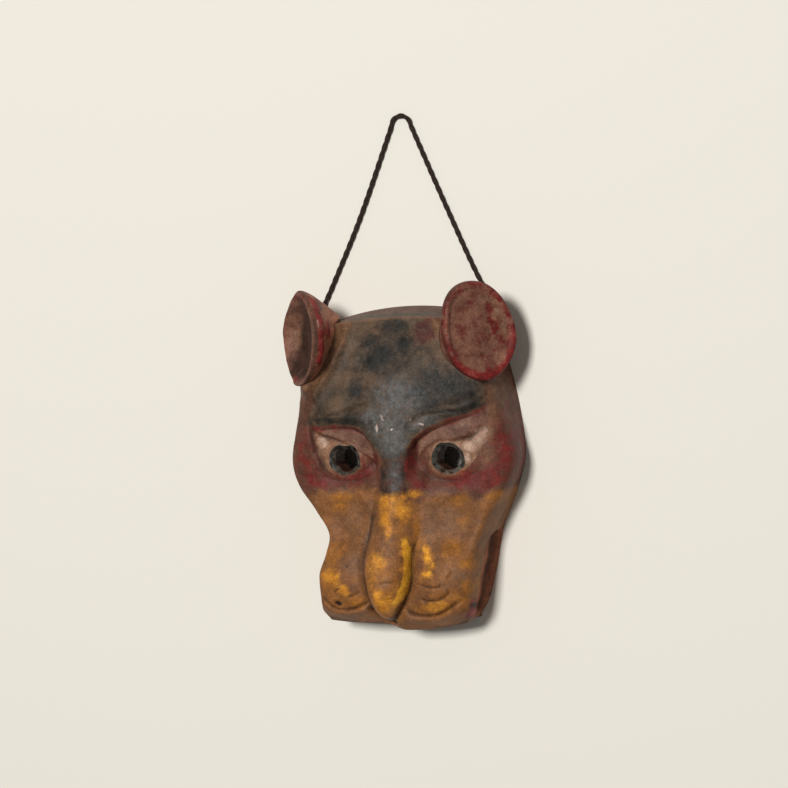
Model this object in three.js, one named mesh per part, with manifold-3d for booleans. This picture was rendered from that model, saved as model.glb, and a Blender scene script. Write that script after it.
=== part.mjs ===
// Wooden animal mask with a hanging cord, lying face up on its back rim.
// Millimetres, +Z up: X runs across the face, Y up the face and Z out of the face.
import * as THREE from 'three';
import { mergeVertices } from 'three/addons/utils/BufferGeometryUtils.js';
import Module from 'manifold-3d';

// Cross-sections from chin to crown: height up the face, half-width of the back rim, half-width and
// depth of the side where it is widest, and depth on the midline before the features are added.
const SECTIONS = [
  { y: -109, rim: 38, side: 45, sideZ: 27, mid: 34 },
  { y: -99, rim: 44, side: 52.5, sideZ: 37, mid: 43 },
  { y: -78, rim: 50.5, side: 54.5, sideZ: 42, mid: 46 },
  { y: -63, rim: 54.5, side: 50, sideZ: 41.5, mid: 45 },
  { y: -50, rim: 59, side: 48, sideZ: 39, mid: 43 },
  { y: -34, rim: 65, side: 58, sideZ: 34, mid: 42 },
  { y: -19, rim: 69, side: 69.5, sideZ: 30, mid: 42 },
  { y: -4, rim: 71.5, side: 74, sideZ: 28, mid: 44 },
  { y: 12, rim: 71, side: 71, sideZ: 28, mid: 46 },
  { y: 40, rim: 67, side: 62, sideZ: 27, mid: 44 },
  { y: 65, rim: 61, side: 56, sideZ: 24, mid: 38 },
  { y: 85.5, rim: 50, side: 46, sideZ: 20, mid: 31 },
];
const FACE_ROUNDING = 0.7;
// Ends of the face: arch of its edge, and how far the wall below it runs out and arches at the rim.
// Left of the nose the chin is cut shorter and arches the other way.
const CROWN_END = { arch: -4, leftArch: -4, leftRaise: 0, wall: 6.3, rimArch: -0.5 };
const CHIN_END = { arch: 5, leftArch: -4, leftRaise: 6, wall: -5.8, rimArch: -2 };
const END_TAPER = 0.2;

// Eye socket under the brow line, eyeball, and the band of the upper lid.
const BROW_LINE = [[0, -3], [8, 3], [13, 9.5], [18, 13.8], [25, 17.2], [38, 21], [52, 24], [64, 31]];
const LID_LINE = [[12, -4], [17, 1.4], [22, 5.8], [34, 10], [46, 13], [54, 18], [64, 24]];
const LOWER_LID_LINE = [
  [12, -4], [19, -8], [25, -12], [31, -14], [38, -13.5], [44, -11], [50, -6], [56, 4], [64, 22],
];
const SOCKET_DEPTH = [[8, 7], [16, 7.5], [25, 6], [35, 5], [50, 3.5], [64, 0]];
const BROW_FOLLOW = { level: 17, reach: 46 };
const EYEBALL = { x: 34, y: -1.5, halfWidth: 21, halfHeight: 14, height: 4.5 };
const LID_HEIGHT = 3.6;
const BROW_ROLL = { height: 2.2, above: 6, spread: 5 };
const EYE_HOLE = { x: 33.7, y: -1.8, radius: 7.2 };

// Nose: half-width and height by position up the face, and how far its lower half leans.
const NOSE_HALF_WIDTH = [
  [-104, 0.6], [-102, 2.4], [-98, 5.2], [-90, 10], [-80, 14], [-70, 15.4], [-58, 15.2], [-39, 12.2],
  [-20, 9.5], [2, 8], [16, 9],
];
const NOSE_HEIGHT = [
  [-104, 0], [-102, 5], [-98, 9.5], [-90, 12], [-80, 13], [-57, 11], [-39, 8.5], [-20, 6.5], [-5, 4], [16, 0],
];
const NOSE_LEAN = { offset: -7, from: -5, to: -62 };
const MUZZLE_LOBE = { x: 32, y: -80, halfWidth: 27, halfHeight: 29, height: 6 };
const CHEEK_HOLLOW = { x: 36, y: -40, halfWidth: 20, halfHeight: 22, height: -4 };

// Scooped recess low on each side wall, between the muzzle lobe and the rim: its ends, its depth and
// how far down the wall its upper edge lies. The right side is trimmed straighter above it, and the
// left side is fuller below the ear and at the chin.
const SIDE_RECESS = { from: -106, to: -47, depth: 5, edge: 0.3, ramp: 12 };
const RIGHT_TRIM = [[-109, 4], [-99, 7], [-78, 6], [-63, 0], [-50, -5], [-36, -3], [-20, 0]];
const LEFT_TRIM = [[-109, -3], [-99, 0], [8, 0], [26, -1.5], [42, -4.5], [60, -4], [85, 0]];

// Dished ears: centre, turn away from the face, lean toward the midline, and how much fuller the root
// is below and slimmer on its inner side. Rings run from the middle of the dish over the rim and down
// the back to the root: share of radius, depth and drop. The left ear is the deeper dish.
const EAR = { y: 75, z: 44, lean: 15, halfWidth: 24, halfHeight: 30.5 };
const RIGHT_EAR = {
  x: 59,
  turn: 45,
  keel: 0.1,
  innerCut: 0,
  middle: -0.6,
  rings: [
    [0.3, -0.9, 0], [0.6, -1.9, 0], [0.8, -2.1, 0], [0.88, 0.6, 0], [0.95, 1.1, 0],
    [1, -0.9, 0], [0.99, -5, 0], [0.88, -10, 1.5], [0.74, -18, 5], [0.6, -33, 9],
  ],
};
const LEFT_EAR = {
  x: 60,
  turn: 46,
  keel: 0.4,
  innerCut: 0.15,
  middle: -9,
  rings: [
    [0.3, -8.7, 0], [0.6, -6.6, 0], [0.82, -2.6, 0], [0.93, 0.6, 0], [0.97, 1, 0],
    [1, -0.7, 0], [0.975, -4, 0], [0.87, -10, 0], [0.68, -18, 0], [0.4, -31, 1],
  ],
};

// Hollow for the wearer's face: height, half-width and depth of its sections.
const HOLLOW = [
  { y: -100, half: 17, depth: 14 },
  { y: -90, half: 27, depth: 25 },
  { y: -72, half: 34, depth: 32 },
  { y: -50, half: 38, depth: 31 },
  { y: -25, half: 50, depth: 28 },
  { y: 0, half: 59, depth: 30 },
  { y: 25, half: 58, depth: 33 },
  { y: 50, half: 54, depth: 31 },
  { y: 68, half: 47, depth: 25 },
  { y: 79, half: 32, depth: 15 },
];
const HOLLOW_SKIRT = 6;

// Cord: tie holes through the upper corners, the bend at its top, and places along each leg from the
// hole up, given as distance from the midline, height and depth.
const TIE_HOLE = { x: 56, y: 79, z: 8, radius: 2.4, heading: 45, wall: 17.5 };
const CORD_RADIUS = 1.5;
const CORD_APEX = { y: 211.5, bend: 6.5 };
const LEFT_LEG = [[60, 88, 5], [57.2, 96, 2.2], [51.5, 107, 1.6], [30.5, 149, 1.6]];
const RIGHT_LEG = [[59.6, 87, 5], [55, 95, 2.2], [46.8, 107, 1.6], [29, 149, 1.6]];
const KNOT = { radius: 4.2, length: 6, gap: 0.4 };

// Sampling of the surfaces.
const RELIEF_REACH = 1.7;
const FACE_COLUMNS = 22;
const SIDE_COLUMNS = 5;
const FACE_ROWS = 48;
const END_ROWS = 3;
const EAR_SIDES = 24;

const wasm = await Module();
wasm.setup();

// Smooth 0 to 1 step between two values.
function step(from, to, value) {
  const t = Math.min(1, Math.max(0, (value - from) / (to - from)));
  return t * t * (3 - 2 * t);
}

// Smooth cubic curve through a list of [position, value] points.
function curveThrough(points) {
  const slope = (i, j) => (points[j][1] - points[i][1]) / (points[j][0] - points[i][0]);
  const last = points.length - 1;
  const tangents = points.map((_, i) => slope(Math.max(0, i - 1), Math.min(last, i + 1)));
  return (position) => {
    const clamped = Math.min(points[last][0], Math.max(points[0][0], position));
    let i = 0;
    while (i < last - 1 && clamped > points[i + 1][0]) i += 1;
    const span = points[i + 1][0] - points[i][0];
    const t = (clamped - points[i][0]) / span;
    const start = points[i][1] * (1 + 2 * t) * (1 - t) ** 2 + tangents[i] * span * t * (1 - t) ** 2;
    const end = points[i + 1][1] * t * t * (3 - 2 * t) + tangents[i + 1] * span * t * t * (t - 1);
    return start + end;
  };
}

const sectionCurve = (key) => curveThrough(SECTIONS.map((section) => [section.y, section[key]]));
const rimHalf = sectionCurve('rim');
const sideHalf = sectionCurve('side');
const sideDepth = sectionCurve('sideZ');
const midDepth = sectionCurve('mid');
const browLine = curveThrough(BROW_LINE);
const lidLine = curveThrough(LID_LINE);
const lowerLidLine = curveThrough(LOWER_LID_LINE);
const socketDepth = curveThrough(SOCKET_DEPTH);
const rightTrim = curveThrough(RIGHT_TRIM);
const leftTrim = curveThrough(LEFT_TRIM);
const noseHalf = curveThrough(NOSE_HALF_WIDTH);
const noseHeight = curveThrough(NOSE_HEIGHT);

// Rounded mound or hollow with an elliptical outline, level at its edge.
function mound(across, y, shape) {
  const r2 = ((across - shape.x) / shape.halfWidth) ** 2 + ((y - shape.y) / shape.halfHeight) ** 2;
  return r2 < 1 ? shape.height * (1 - r2) ** 1.5 : 0;
}

// Socket cut back under the brow, with the eyeball and the upper lid standing in it.
function eyeRelief(across, y) {
  const brow = browLine(across);
  const below = brow - y;
  const above = y - lowerLidLine(across);
  const socket = step(-1, 4.5, below) * step(-6, 3, above) * step(7, 14, across) * step(66, 54, across);
  const r2 = ((across - EYEBALL.x) / EYEBALL.halfWidth) ** 2 + ((y - EYEBALL.y) / EYEBALL.halfHeight) ** 2;
  const eyeball = EYEBALL.height * Math.sqrt(Math.max(0, 1 - r2));
  const lid = LID_HEIGHT * step(-1, 3, y - lidLine(across)) * step(0, 4, below) * step(11, 17, across);
  const roll = (y - brow - BROW_ROLL.above) / BROW_ROLL.spread;
  const browRoll = BROW_ROLL.height * Math.exp(-roll * roll) * step(6, 18, across) * step(66, 50, across);
  return Math.max(eyeball, lid) - socketDepth(across) * socket + browRoll;
}

// Nose with a rounded section on its leaning centreline.
function noseRelief(x, y) {
  const centre = NOSE_LEAN.offset * step(NOSE_LEAN.from, NOSE_LEAN.to, y);
  const r = (x - centre) / noseHalf(y);
  return Math.abs(r) < 1 ? noseHeight(y) * Math.sqrt(1 - r * r) : 0;
}

// Carved relief of the face, added to the depth of the plain sections.
function relief(x, y) {
  const across = Math.abs(x);
  return eyeRelief(across, y) + noseRelief(x, y) + mound(across, y, MUZZLE_LOBE) + mound(across, y, CHEEK_HOLLOW);
}

// Relief averaged over the spacing of the surface points, so that slanting edges stay even.
function evenRelief(x, y) {
  let sum = 0;
  for (const dx of [-1, 0, 1]) {
    for (const dy of [-1, 0, 1]) sum += relief(x + dx * RELIEF_REACH, y + dy * RELIEF_REACH);
  }
  return sum / 9;
}

// One point of the outside. The column runs -1 to 1 from rim to rim and the row 0 to 1 from chin to
// crown; both have an inner stretch over the face and an outer one down the wall to the rim. Rows
// near the eyes bend to follow the brow line.
function outsidePoint(column, row) {
  const faceShare = FACE_COLUMNS / (FACE_COLUMNS + SIDE_COLUMNS);
  const endShare = END_ROWS / (FACE_ROWS + 2 * END_ROWS);
  const a = Math.min(1, Math.abs(column) / faceShare);
  const down = Math.max(0, (Math.abs(column) - faceShare) / (1 - faceShare));
  const crownward = row > 0.5;
  const end = crownward ? CROWN_END : CHIN_END;
  const out = Math.max(0, (Math.abs(row - 0.5) - (0.5 - endShare)) / endShare);
  const along = Math.min(1, Math.max(0, (row - endShare) / (1 - 2 * endShare)));
  const first = SECTIONS[0].y;
  const straight = first + (SECTIONS.at(-1).y - first) * along;

  const angle = (Math.PI / 2) * (0.85 * a + 0.15 * a ** 3);
  const across = Math.sin(angle);
  const follow = Math.max(0, 1 - ((straight - BROW_FOLLOW.level) / BROW_FOLLOW.reach) ** 2) ** 2;
  const level = straight + follow * (browLine(across * sideHalf(straight)) - BROW_FOLLOW.level);
  const bow = crownward ? step(0.55, 1, along) : step(0.45, 0, along);
  const wallRun = out * (end.wall + end.rimArch * across * across) * (1 - 0.5 * down);
  const raise = end.leftRaise * step(0, -0.25, Math.sign(column) * across);
  const arch = (column > 0 ? end.arch : end.leftArch) * across * across + raise;
  const y = level + arch * bow + wallRun;

  const side = sideHalf(level) - (column > 0 ? rightTrim(level) : leftTrim(level));
  const flare = rimHalf(level) - side;
  const inward = down ** (1.5 - 0.75 * step(-3, 6, flare));
  const turned = 1 - (1 - inward) * (1 - out ** 1.5);
  let half = (side + flare * turned) * across * (1 - END_TAPER * out * (1 - down));
  const { from, to, ramp, edge } = SIDE_RECESS;
  const scoop = step(edge - 0.1, edge + 0.1, down) * step(1, 0.75, down);
  half -= SIDE_RECESS.depth * scoop * step(from, from + ramp, y) * step(to, to - ramp, y);

  const x = Math.sign(column) * half;
  const depth = sideDepth(level);
  let z = depth + (midDepth(level) - depth) * Math.cos(angle) ** FACE_ROUNDING;
  if (down === 0) z += evenRelief(x, y) * step(1, 0.9, a);
  z *= (1 - down) * (1 - out);
  return [x, y, z];
}

// Closed indexed solid from a grid of points whose border lies in one level plane.
function cappedGrid(points, columns, rows, capDepth) {
  const positions = points.flat();
  const index = [];
  const at = (i, j) => j * (columns + 1) + i;
  const border = [];
  for (let j = 0; j < rows; j += 1) {
    for (let i = 0; i < columns; i += 1) {
      index.push(at(i, j), at(i + 1, j), at(i + 1, j + 1), at(i, j), at(i + 1, j + 1), at(i, j + 1));
    }
  }
  for (let i = 0; i < columns; i += 1) border.push(at(i, 0));
  for (let j = 0; j < rows; j += 1) border.push(at(columns, j));
  for (let i = columns; i > 0; i -= 1) border.push(at(i, rows));
  for (let j = rows; j > 0; j -= 1) border.push(at(0, j));
  const centre = positions.length / 3;
  positions.push(0, 0, capDepth);
  border.forEach((from, k) => index.push(centre, border[(k + 1) % border.length], from));
  return solid(positions, index);
}

// Manifold solid from positions and triangle indices.
function solid(positions, index) {
  return new wasm.Manifold(new wasm.Mesh({
    numProp: 3,
    vertProperties: new Float32Array(positions),
    triVerts: new Uint32Array(index),
  }));
}

// Manifold solid from a three.js geometry.
function solidOf(geometry) {
  geometry.deleteAttribute('normal');
  geometry.deleteAttribute('uv');
  const merged = mergeVertices(geometry, 1e-4);
  return solid(merged.attributes.position.array, merged.index.array);
}

// three.js geometry from a Manifold solid.
function geometryOf(body) {
  const mesh = body.getMesh();
  const geometry = new THREE.BufferGeometry();
  geometry.setAttribute('position', new THREE.BufferAttribute(new Float32Array(mesh.vertProperties), 3));
  geometry.setIndex(new THREE.BufferAttribute(new Uint32Array(mesh.triVerts), 1));
  geometry.computeVertexNormals();
  return geometry;
}

function outsideSolid() {
  const columns = 2 * (FACE_COLUMNS + SIDE_COLUMNS);
  const rows = FACE_ROWS + 2 * END_ROWS;
  const points = [];
  for (let j = 0; j <= rows; j += 1) {
    for (let i = 0; i <= columns; i += 1) points.push(outsidePoint(2 * (i / columns) - 1, j / rows));
  }
  return cappedGrid(points, columns, rows, 0);
}

// Hollow as a loft of half-ellipses, carried a little past the rim so that it cuts through.
function hollowSolid() {
  const half = curveThrough(HOLLOW.map((section) => [section.y, section.half]));
  const depth = curveThrough(HOLLOW.map((section) => [section.y, section.depth]));
  const columns = 20;
  const rows = 22;
  const first = HOLLOW[0].y;
  const last = HOLLOW.at(-1).y;
  const points = [];
  for (let j = 0; j <= rows; j += 1) {
    const y = first + (last - first) * (j / rows);
    for (let i = 0; i <= columns; i += 1) {
      const angle = Math.PI * (i / columns);
      const border = j === 0 || j === rows || i === 0 || i === columns;
      const z = border ? -HOLLOW_SKIRT : depth(y) * Math.sin(angle) ** 0.8;
      points.push([-half(y) * Math.cos(angle), y, z]);
    }
  }
  return cappedGrid(points, columns, rows, -HOLLOW_SKIRT);
}

// Dished ear as rings of an ellipse, closed by a point in the dish and one at the root.
function earSolid(ear, sign) {
  const turn = THREE.MathUtils.degToRad(ear.turn);
  const lean = THREE.MathUtils.degToRad(EAR.lean);
  const outward = new THREE.Vector3(Math.cos(turn), 0, -Math.sin(turn));
  const facing = new THREE.Vector3(Math.sin(turn), 0, Math.cos(turn));
  const upward = new THREE.Vector3(0, Math.cos(lean), 0).addScaledVector(outward, -Math.sin(lean));
  const sideways = new THREE.Vector3().crossVectors(upward, facing).normalize();
  const centre = new THREE.Vector3(ear.x, EAR.y, EAR.z);
  const positions = [];
  const index = [];
  const place = (right, up, depth) => {
    const point = centre.clone().addScaledVector(sideways, right).addScaledVector(upward, up);
    point.addScaledVector(facing, depth);
    positions.push(sign * point.x, point.y, point.z);
  };
  const triangle = (a, b, c) => (sign > 0 ? index.push(a, b, c) : index.push(a, c, b));
  place(0, 0, ear.middle);
  for (const [share, depth, drop] of ear.rings) {
    for (let i = 0; i < EAR_SIDES; i += 1) {
      const right = Math.cos(2 * Math.PI * (i / EAR_SIDES));
      const up = Math.sin(2 * Math.PI * (i / EAR_SIDES));
      const fuller = ear.keel * Math.max(0, -up) - ear.innerCut * Math.max(0, -right);
      const size = share * (1 + fuller * step(-5, -18, depth));
      place(size * EAR.halfWidth * right, size * EAR.halfHeight * up - drop, depth);
    }
  }
  place(0, -ear.rings.at(-1)[2], ear.rings.at(-1)[1]);
  const root = ear.rings.length * EAR_SIDES + 1;
  for (let i = 0; i < EAR_SIDES; i += 1) {
    const next = (i + 1) % EAR_SIDES;
    triangle(0, 1 + i, 1 + next);
    for (let ring = 0; ring < ear.rings.length - 1; ring += 1) {
      const inner = 1 + ring * EAR_SIDES;
      const outer = inner + EAR_SIDES;
      triangle(inner + i, outer + i, outer + next);
      triangle(inner + i, outer + next, inner + next);
    }
    triangle(root, root - EAR_SIDES + next, root - EAR_SIDES + i);
  }
  return solid(positions, index);
}

// Round bar along a line, used to cut the holes.
function bar(radius, length, centre, direction, sides) {
  const geometry = new THREE.CylinderGeometry(radius, radius, length, sides);
  const turn = new THREE.Quaternion().setFromUnitVectors(new THREE.Vector3(0, 1, 0), direction);
  geometry.applyQuaternion(turn);
  geometry.translate(centre.x, centre.y, centre.z);
  return solidOf(geometry);
}

// Direction in which a tie hole leaves the mask, on the side given by the sign.
function tieDirection(sign) {
  const heading = THREE.MathUtils.degToRad(TIE_HOLE.heading);
  return new THREE.Vector3(sign * Math.cos(heading), Math.sin(heading), 0);
}

function maskGeometry() {
  let body = outsideSolid().add(earSolid(RIGHT_EAR, 1)).add(earSolid(LEFT_EAR, -1)).subtract(hollowSolid());
  for (const sign of [-1, 1]) {
    const eye = new THREE.Vector3(sign * EYE_HOLE.x, EYE_HOLE.y, 40);
    body = body.subtract(bar(EYE_HOLE.radius, 60, eye, new THREE.Vector3(0, 0, 1), 24));
    const tie = new THREE.Vector3(sign * TIE_HOLE.x, TIE_HOLE.y, TIE_HOLE.z);
    body = body.subtract(bar(TIE_HOLE.radius, 44, tie, tieDirection(sign), 12));
  }
  return geometryOf(body);
}

// Centreline of one leg of the cord, from its knot out of the hole and up to the bend.
function cordLeg(places, sign) {
  const tie = new THREE.Vector3(sign * TIE_HOLE.x, TIE_HOLE.y, TIE_HOLE.z);
  const floor = CORD_RADIUS + 0.1;
  const inHole = [-TIE_HOLE.wall, -0.4 * TIE_HOLE.wall, 3].map(
    (along) => tie.clone().addScaledVector(tieDirection(sign), along),
  );
  const laid = places.map(([across, y, z]) => new THREE.Vector3(sign * across, y, z));
  const bend = [
    new THREE.Vector3(sign * (CORD_APEX.bend + 1), CORD_APEX.y - 9, floor),
    new THREE.Vector3(sign * (CORD_APEX.bend - 1.6), CORD_APEX.y - 2.4, floor),
  ];
  return [...inHole, ...laid, ...bend];
}

// Centreline of the cord from the left knot, out of its hole, over the top bend and back to the right.
function cordPath() {
  const apex = new THREE.Vector3(0, CORD_APEX.y, CORD_RADIUS + 0.1);
  return [...cordLeg(LEFT_LEG, -1), apex, ...cordLeg(RIGHT_LEG, 1).reverse()];
}

function cordGeometry() {
  const circle = new THREE.Shape();
  circle.absarc(0, 0, CORD_RADIUS, 0, 2 * Math.PI);
  const path = new THREE.CatmullRomCurve3(cordPath(), false, 'centripetal');
  return new THREE.ExtrudeGeometry(circle, { steps: 60, curveSegments: 3, extrudePath: path });
}

// Stop knot: a squat rounded body on the cord's end, on the side given by the sign.
function knotGeometry(sign) {
  const profile = [];
  for (let i = 0; i <= 6; i += 1) {
    const angle = Math.PI * (i / 6);
    profile.push(new THREE.Vector2(KNOT.radius * Math.sin(angle), -0.5 * KNOT.length * Math.cos(angle)));
  }
  const geometry = new THREE.LatheGeometry(profile, 12);
  const out = tieDirection(sign);
  geometry.applyQuaternion(new THREE.Quaternion().setFromUnitVectors(new THREE.Vector3(0, 1, 0), out));
  const inside = TIE_HOLE.wall + KNOT.gap + 0.5 * KNOT.length;
  geometry.translate(sign * TIE_HOLE.x - out.x * inside, TIE_HOLE.y - out.y * inside, TIE_HOLE.z);
  return geometry;
}

const paintedWood = new THREE.MeshStandardMaterial({ color: 0x7a4a2c, roughness: 0.6, metalness: 0 });
const darkCord = new THREE.MeshStandardMaterial({ color: 0x2a1d17, roughness: 0.85, metalness: 0 });

const pieces = {
  carved_mask: new THREE.Mesh(maskGeometry(), paintedWood),
  hanging_cord: new THREE.Mesh(cordGeometry(), darkCord),
  cord_knot_left: new THREE.Mesh(knotGeometry(-1), darkCord),
  cord_knot_right: new THREE.Mesh(knotGeometry(1), darkCord),
};

// The origin is under the middle of the mask, level with its rim.
const mask = new THREE.Group();
const middle = new THREE.Box3().setFromObject(pieces.carved_mask).getCenter(new THREE.Vector3());
for (const [name, mesh] of Object.entries(pieces)) {
  mesh.name = name;
  mesh.position.set(-middle.x, -middle.y, 0);
  mask.add(mesh);
}

export default mask;
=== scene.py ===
import bpy
import numpy as np
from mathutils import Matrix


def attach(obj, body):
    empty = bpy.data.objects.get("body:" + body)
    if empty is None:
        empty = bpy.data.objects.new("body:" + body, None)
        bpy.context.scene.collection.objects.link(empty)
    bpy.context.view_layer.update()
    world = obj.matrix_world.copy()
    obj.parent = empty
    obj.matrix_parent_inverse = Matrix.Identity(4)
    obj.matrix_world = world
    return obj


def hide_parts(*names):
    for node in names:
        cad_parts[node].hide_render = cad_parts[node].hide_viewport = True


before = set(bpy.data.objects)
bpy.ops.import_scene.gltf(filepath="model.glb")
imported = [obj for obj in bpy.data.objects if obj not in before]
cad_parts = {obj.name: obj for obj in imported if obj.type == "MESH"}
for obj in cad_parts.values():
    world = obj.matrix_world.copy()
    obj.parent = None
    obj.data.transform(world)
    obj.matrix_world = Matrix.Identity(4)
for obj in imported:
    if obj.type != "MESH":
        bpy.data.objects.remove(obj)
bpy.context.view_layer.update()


# Carved mask.
# One block of wood carved as an animal's face, hollowed from behind and cut with eye and tie holes,
# its dished ears in one with it. Hand-painted black, red, pink, cream and ochre, now worn and waxed.

# Sizes in millimetres in the carver's frame: x across, y up from the eyes, z out from the back rim.
MILLIMETRE = 0.001
MIDDLE = np.array([-0.496, -4.868, 0])
SECTION_Y = np.array([-109, -99, -78, -63, -50, -34, -19, -4, 12, 40, 65, 85.5])
RIM_HALF = np.array([38, 44, 50.5, 54.5, 59, 65, 69, 71.5, 71, 67, 61, 50])
SIDE_HALF = np.array([45, 52.5, 54.5, 50, 48, 58, 69.5, 74, 71, 62, 56, 46])
SIDE_DEPTH = np.array([27, 37, 42, 41.5, 39, 34, 30, 28, 28, 27, 24, 20])
MIDLINE_DEPTH = np.array([34, 43, 46, 45, 43, 42, 42, 44, 46, 44, 38, 31])
RIGHT_TRIM = [(-109, 4), (-99, 7), (-78, 6), (-63, 0), (-50, -5), (-36, -3), (-20, 0)]
LEFT_TRIM = [
    (-109, -9), (-103, -5.5), (-97, -2), (-85, 0), (8, 0), (26, -1.5), (42, -4.5), (60, -4), (85, 0),
]
RIGHT_RIM_TRIM = [(-105, 0), (-90, 0.5), (-75, 1), (-62, 2), (-48, 3.8), (-34, 3), (-20, 1.5), (-5, 0)]
FACE_ROUNDING = 0.7
CROWN_ARCH, CROWN_WALL, CROWN_RIM_ARCH = -4, 6.3, -0.5
CHIN_ARCH, LEFT_CHIN_ARCH, LEFT_CHIN_RAISE, CHIN_WALL, CHIN_RIM_ARCH = 5, 1.5, 3.5, -3.5, -0.5
END_TAPER = 0.2
FACE_COLUMNS, WALL_COLUMNS, FACE_ROWS, END_ROWS = 108, 24, 246, 14
FACE_SHARE = FACE_COLUMNS / (FACE_COLUMNS + WALL_COLUMNS)
SOFTENING_ROUNDS = 240


def ease(low, high, value):
    """Smooth step: 0 up to low, 1 from high on, a cubic between; low may lie above high."""
    t = np.clip((value - low) / (high - low), 0, 1)
    return t * t * (3 - 2 * t)


def curve_through(points, position):
    """Smooth curve through (position, value) points: cubic pieces whose slope at each point is the
    slope between its two neighbours. Positions beyond the ends keep the end values."""
    at, value = np.array(points, float).T
    before = np.maximum(np.arange(len(at)) - 1, 0)
    after = np.minimum(np.arange(len(at)) + 1, len(at) - 1)
    slope = (value[after] - value[before]) / (at[after] - at[before])
    clamped = np.clip(position, at[0], at[-1])
    i = np.clip(np.searchsorted(at, clamped, side="right") - 1, 0, len(at) - 2)
    span = at[i + 1] - at[i]
    t = (clamped - at[i]) / span
    start = value[i] * (1 + 2 * t) * (1 - t) ** 2 + slope[i] * span * t * (1 - t) ** 2
    end = value[i + 1] * t * t * (3 - 2 * t) + slope[i + 1] * span * t * t * (t - 1)
    return start + end


def lumps(x, y, size, seed):
    """Smooth irregular lumps of about the given size, from -1 to 1: random values on a square
    lattice with an eased blend between each four neighbours."""
    lattice = np.random.default_rng(seed).uniform(-1, 1, (64, 64))
    i, j = np.floor(x / size).astype(int), np.floor(y / size).astype(int)
    u, v = ease(0, 1, x / size - i), ease(0, 1, y / size - j)
    near = lattice[i % 64, j % 64] * (1 - u) + lattice[(i + 1) % 64, j % 64] * u
    far = lattice[i % 64, (j + 1) % 64] * (1 - u) + lattice[(i + 1) % 64, (j + 1) % 64] * u
    return near * (1 - v) + far * v


def distance_to_line(x, y, points):
    """Distance from each place to a bent line through the points, and the share of the way along the
    line where its nearest place lies."""
    corners = np.array(points, float)
    lengths = np.hypot(*np.diff(corners, axis=0).T)
    starts = np.concatenate([[0], np.cumsum(lengths)])
    nearest = np.full(np.shape(x), np.inf)
    share = np.zeros(np.shape(x))
    for k, length in enumerate(lengths):
        (ax, ay), (bx, by) = corners[k], corners[k + 1]
        t = np.clip(((x - ax) * (bx - ax) + (y - ay) * (by - ay)) / length ** 2, 0, 1)
        away = np.hypot(x - ax - t * (bx - ax), y - ay - t * (by - ay))
        closer = away < nearest
        nearest = np.where(closer, away, nearest)
        share = np.where(closer, (starts[k] + t * length) / starts[-1], share)
    return nearest, share


def cut_line(x, y, points, depth, width):
    """V-shaped knife cut along a bent line: depth falls off as a bell over the width and tapers to
    nothing at the line's two ends."""
    away, share = distance_to_line(x, y, points)
    return -depth * np.exp(-(away / width) ** 2) * ease(0, 0.12, share) * ease(1, 0.88, share)


# Eyes: brow edge, edge of the upper lid and lower lid of the right eye (1) and the left (-1), each by
# distance from the midline; the left eye is rounder and its brow level.
BROW_LINE = {
    1: [(0, -3), (8, 3), (13, 10), (18, 14), (25, 18), (38, 22.7), (54, 27.8), (64, 33)],
    -1: [(0, -3), (8, 1), (12, 5), (16, 12), (20, 16.5), (26, 19.3), (38, 20), (52, 19.5), (64, 21)],
}
LID_LINE = {
    1: [(12, -4.5), (16.4, 1.6), (21, 5.8), (28, 9), (38, 9.7), (48, 12), (54, 15.6), (64, 23)],
    -1: [(13, -6), (17, -1), (22, 2.6), (28, 6.6), (34, 10), (42, 12.6), (49, 14.5), (53, 16.6), (64, 20)],
}
LOWER_LID_LINE = {
    1: [
        (12, -4), (17, -5), (23, -10.3), (29, -12.9), (37, -12.4), (44, -8.8), (50, -3.8), (55, 4),
        (58, 12.5), (64, 30),
    ],
    -1: [
        (12, -4), (18, -5.5), (24, -9.8), (30, -12.8), (37, -12.7), (43, -10.6), (48, -5.6), (51.5, 1.5),
        (53.8, 9), (56, 18), (64, 40),
    ],
}
SOCKET_DEPTH = [(8, 7), (16, 7.5), (25, 6), (35, 5), (50, 3.5), (64, 0)]
BROW_LEVEL, BROW_REACH = 17, 46
EYE_X, EYE_Y, EYE_HALF_WIDTH, EYE_HALF_HEIGHT, EYE_BULGE = 34, -1.5, 21, 14, 4.5
EYE_HOLE_X, EYE_HOLE_Y = 33.7, -2
LID_FLOOR, LID_STEP = 2.2, 1.3
LID_GROOVE_DEPTH, LEFT_END_DEPTH, LID_GROOVE_WIDTH = 0.4, 1.1, 2
BROW_ROLL_HEIGHT, BROW_ROLL_ABOVE, BROW_ROLL_SPREAD = 2.2, 5.5, 4.6


def eye_line(lines, x):
    """Height of an eye's line at each place across, from the points of its own side."""
    across = np.abs(x)
    return np.where(x > 0, curve_through(lines[1], across), curve_through(lines[-1], across))


def slanted(lines, x, y):
    """Height above an eye's line, measured square to the line's slope."""
    slope = eye_line(lines, x + 0.5) - eye_line(lines, x - 0.5)
    return (y - eye_line(lines, x)) / np.sqrt(1 + slope ** 2)


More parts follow.
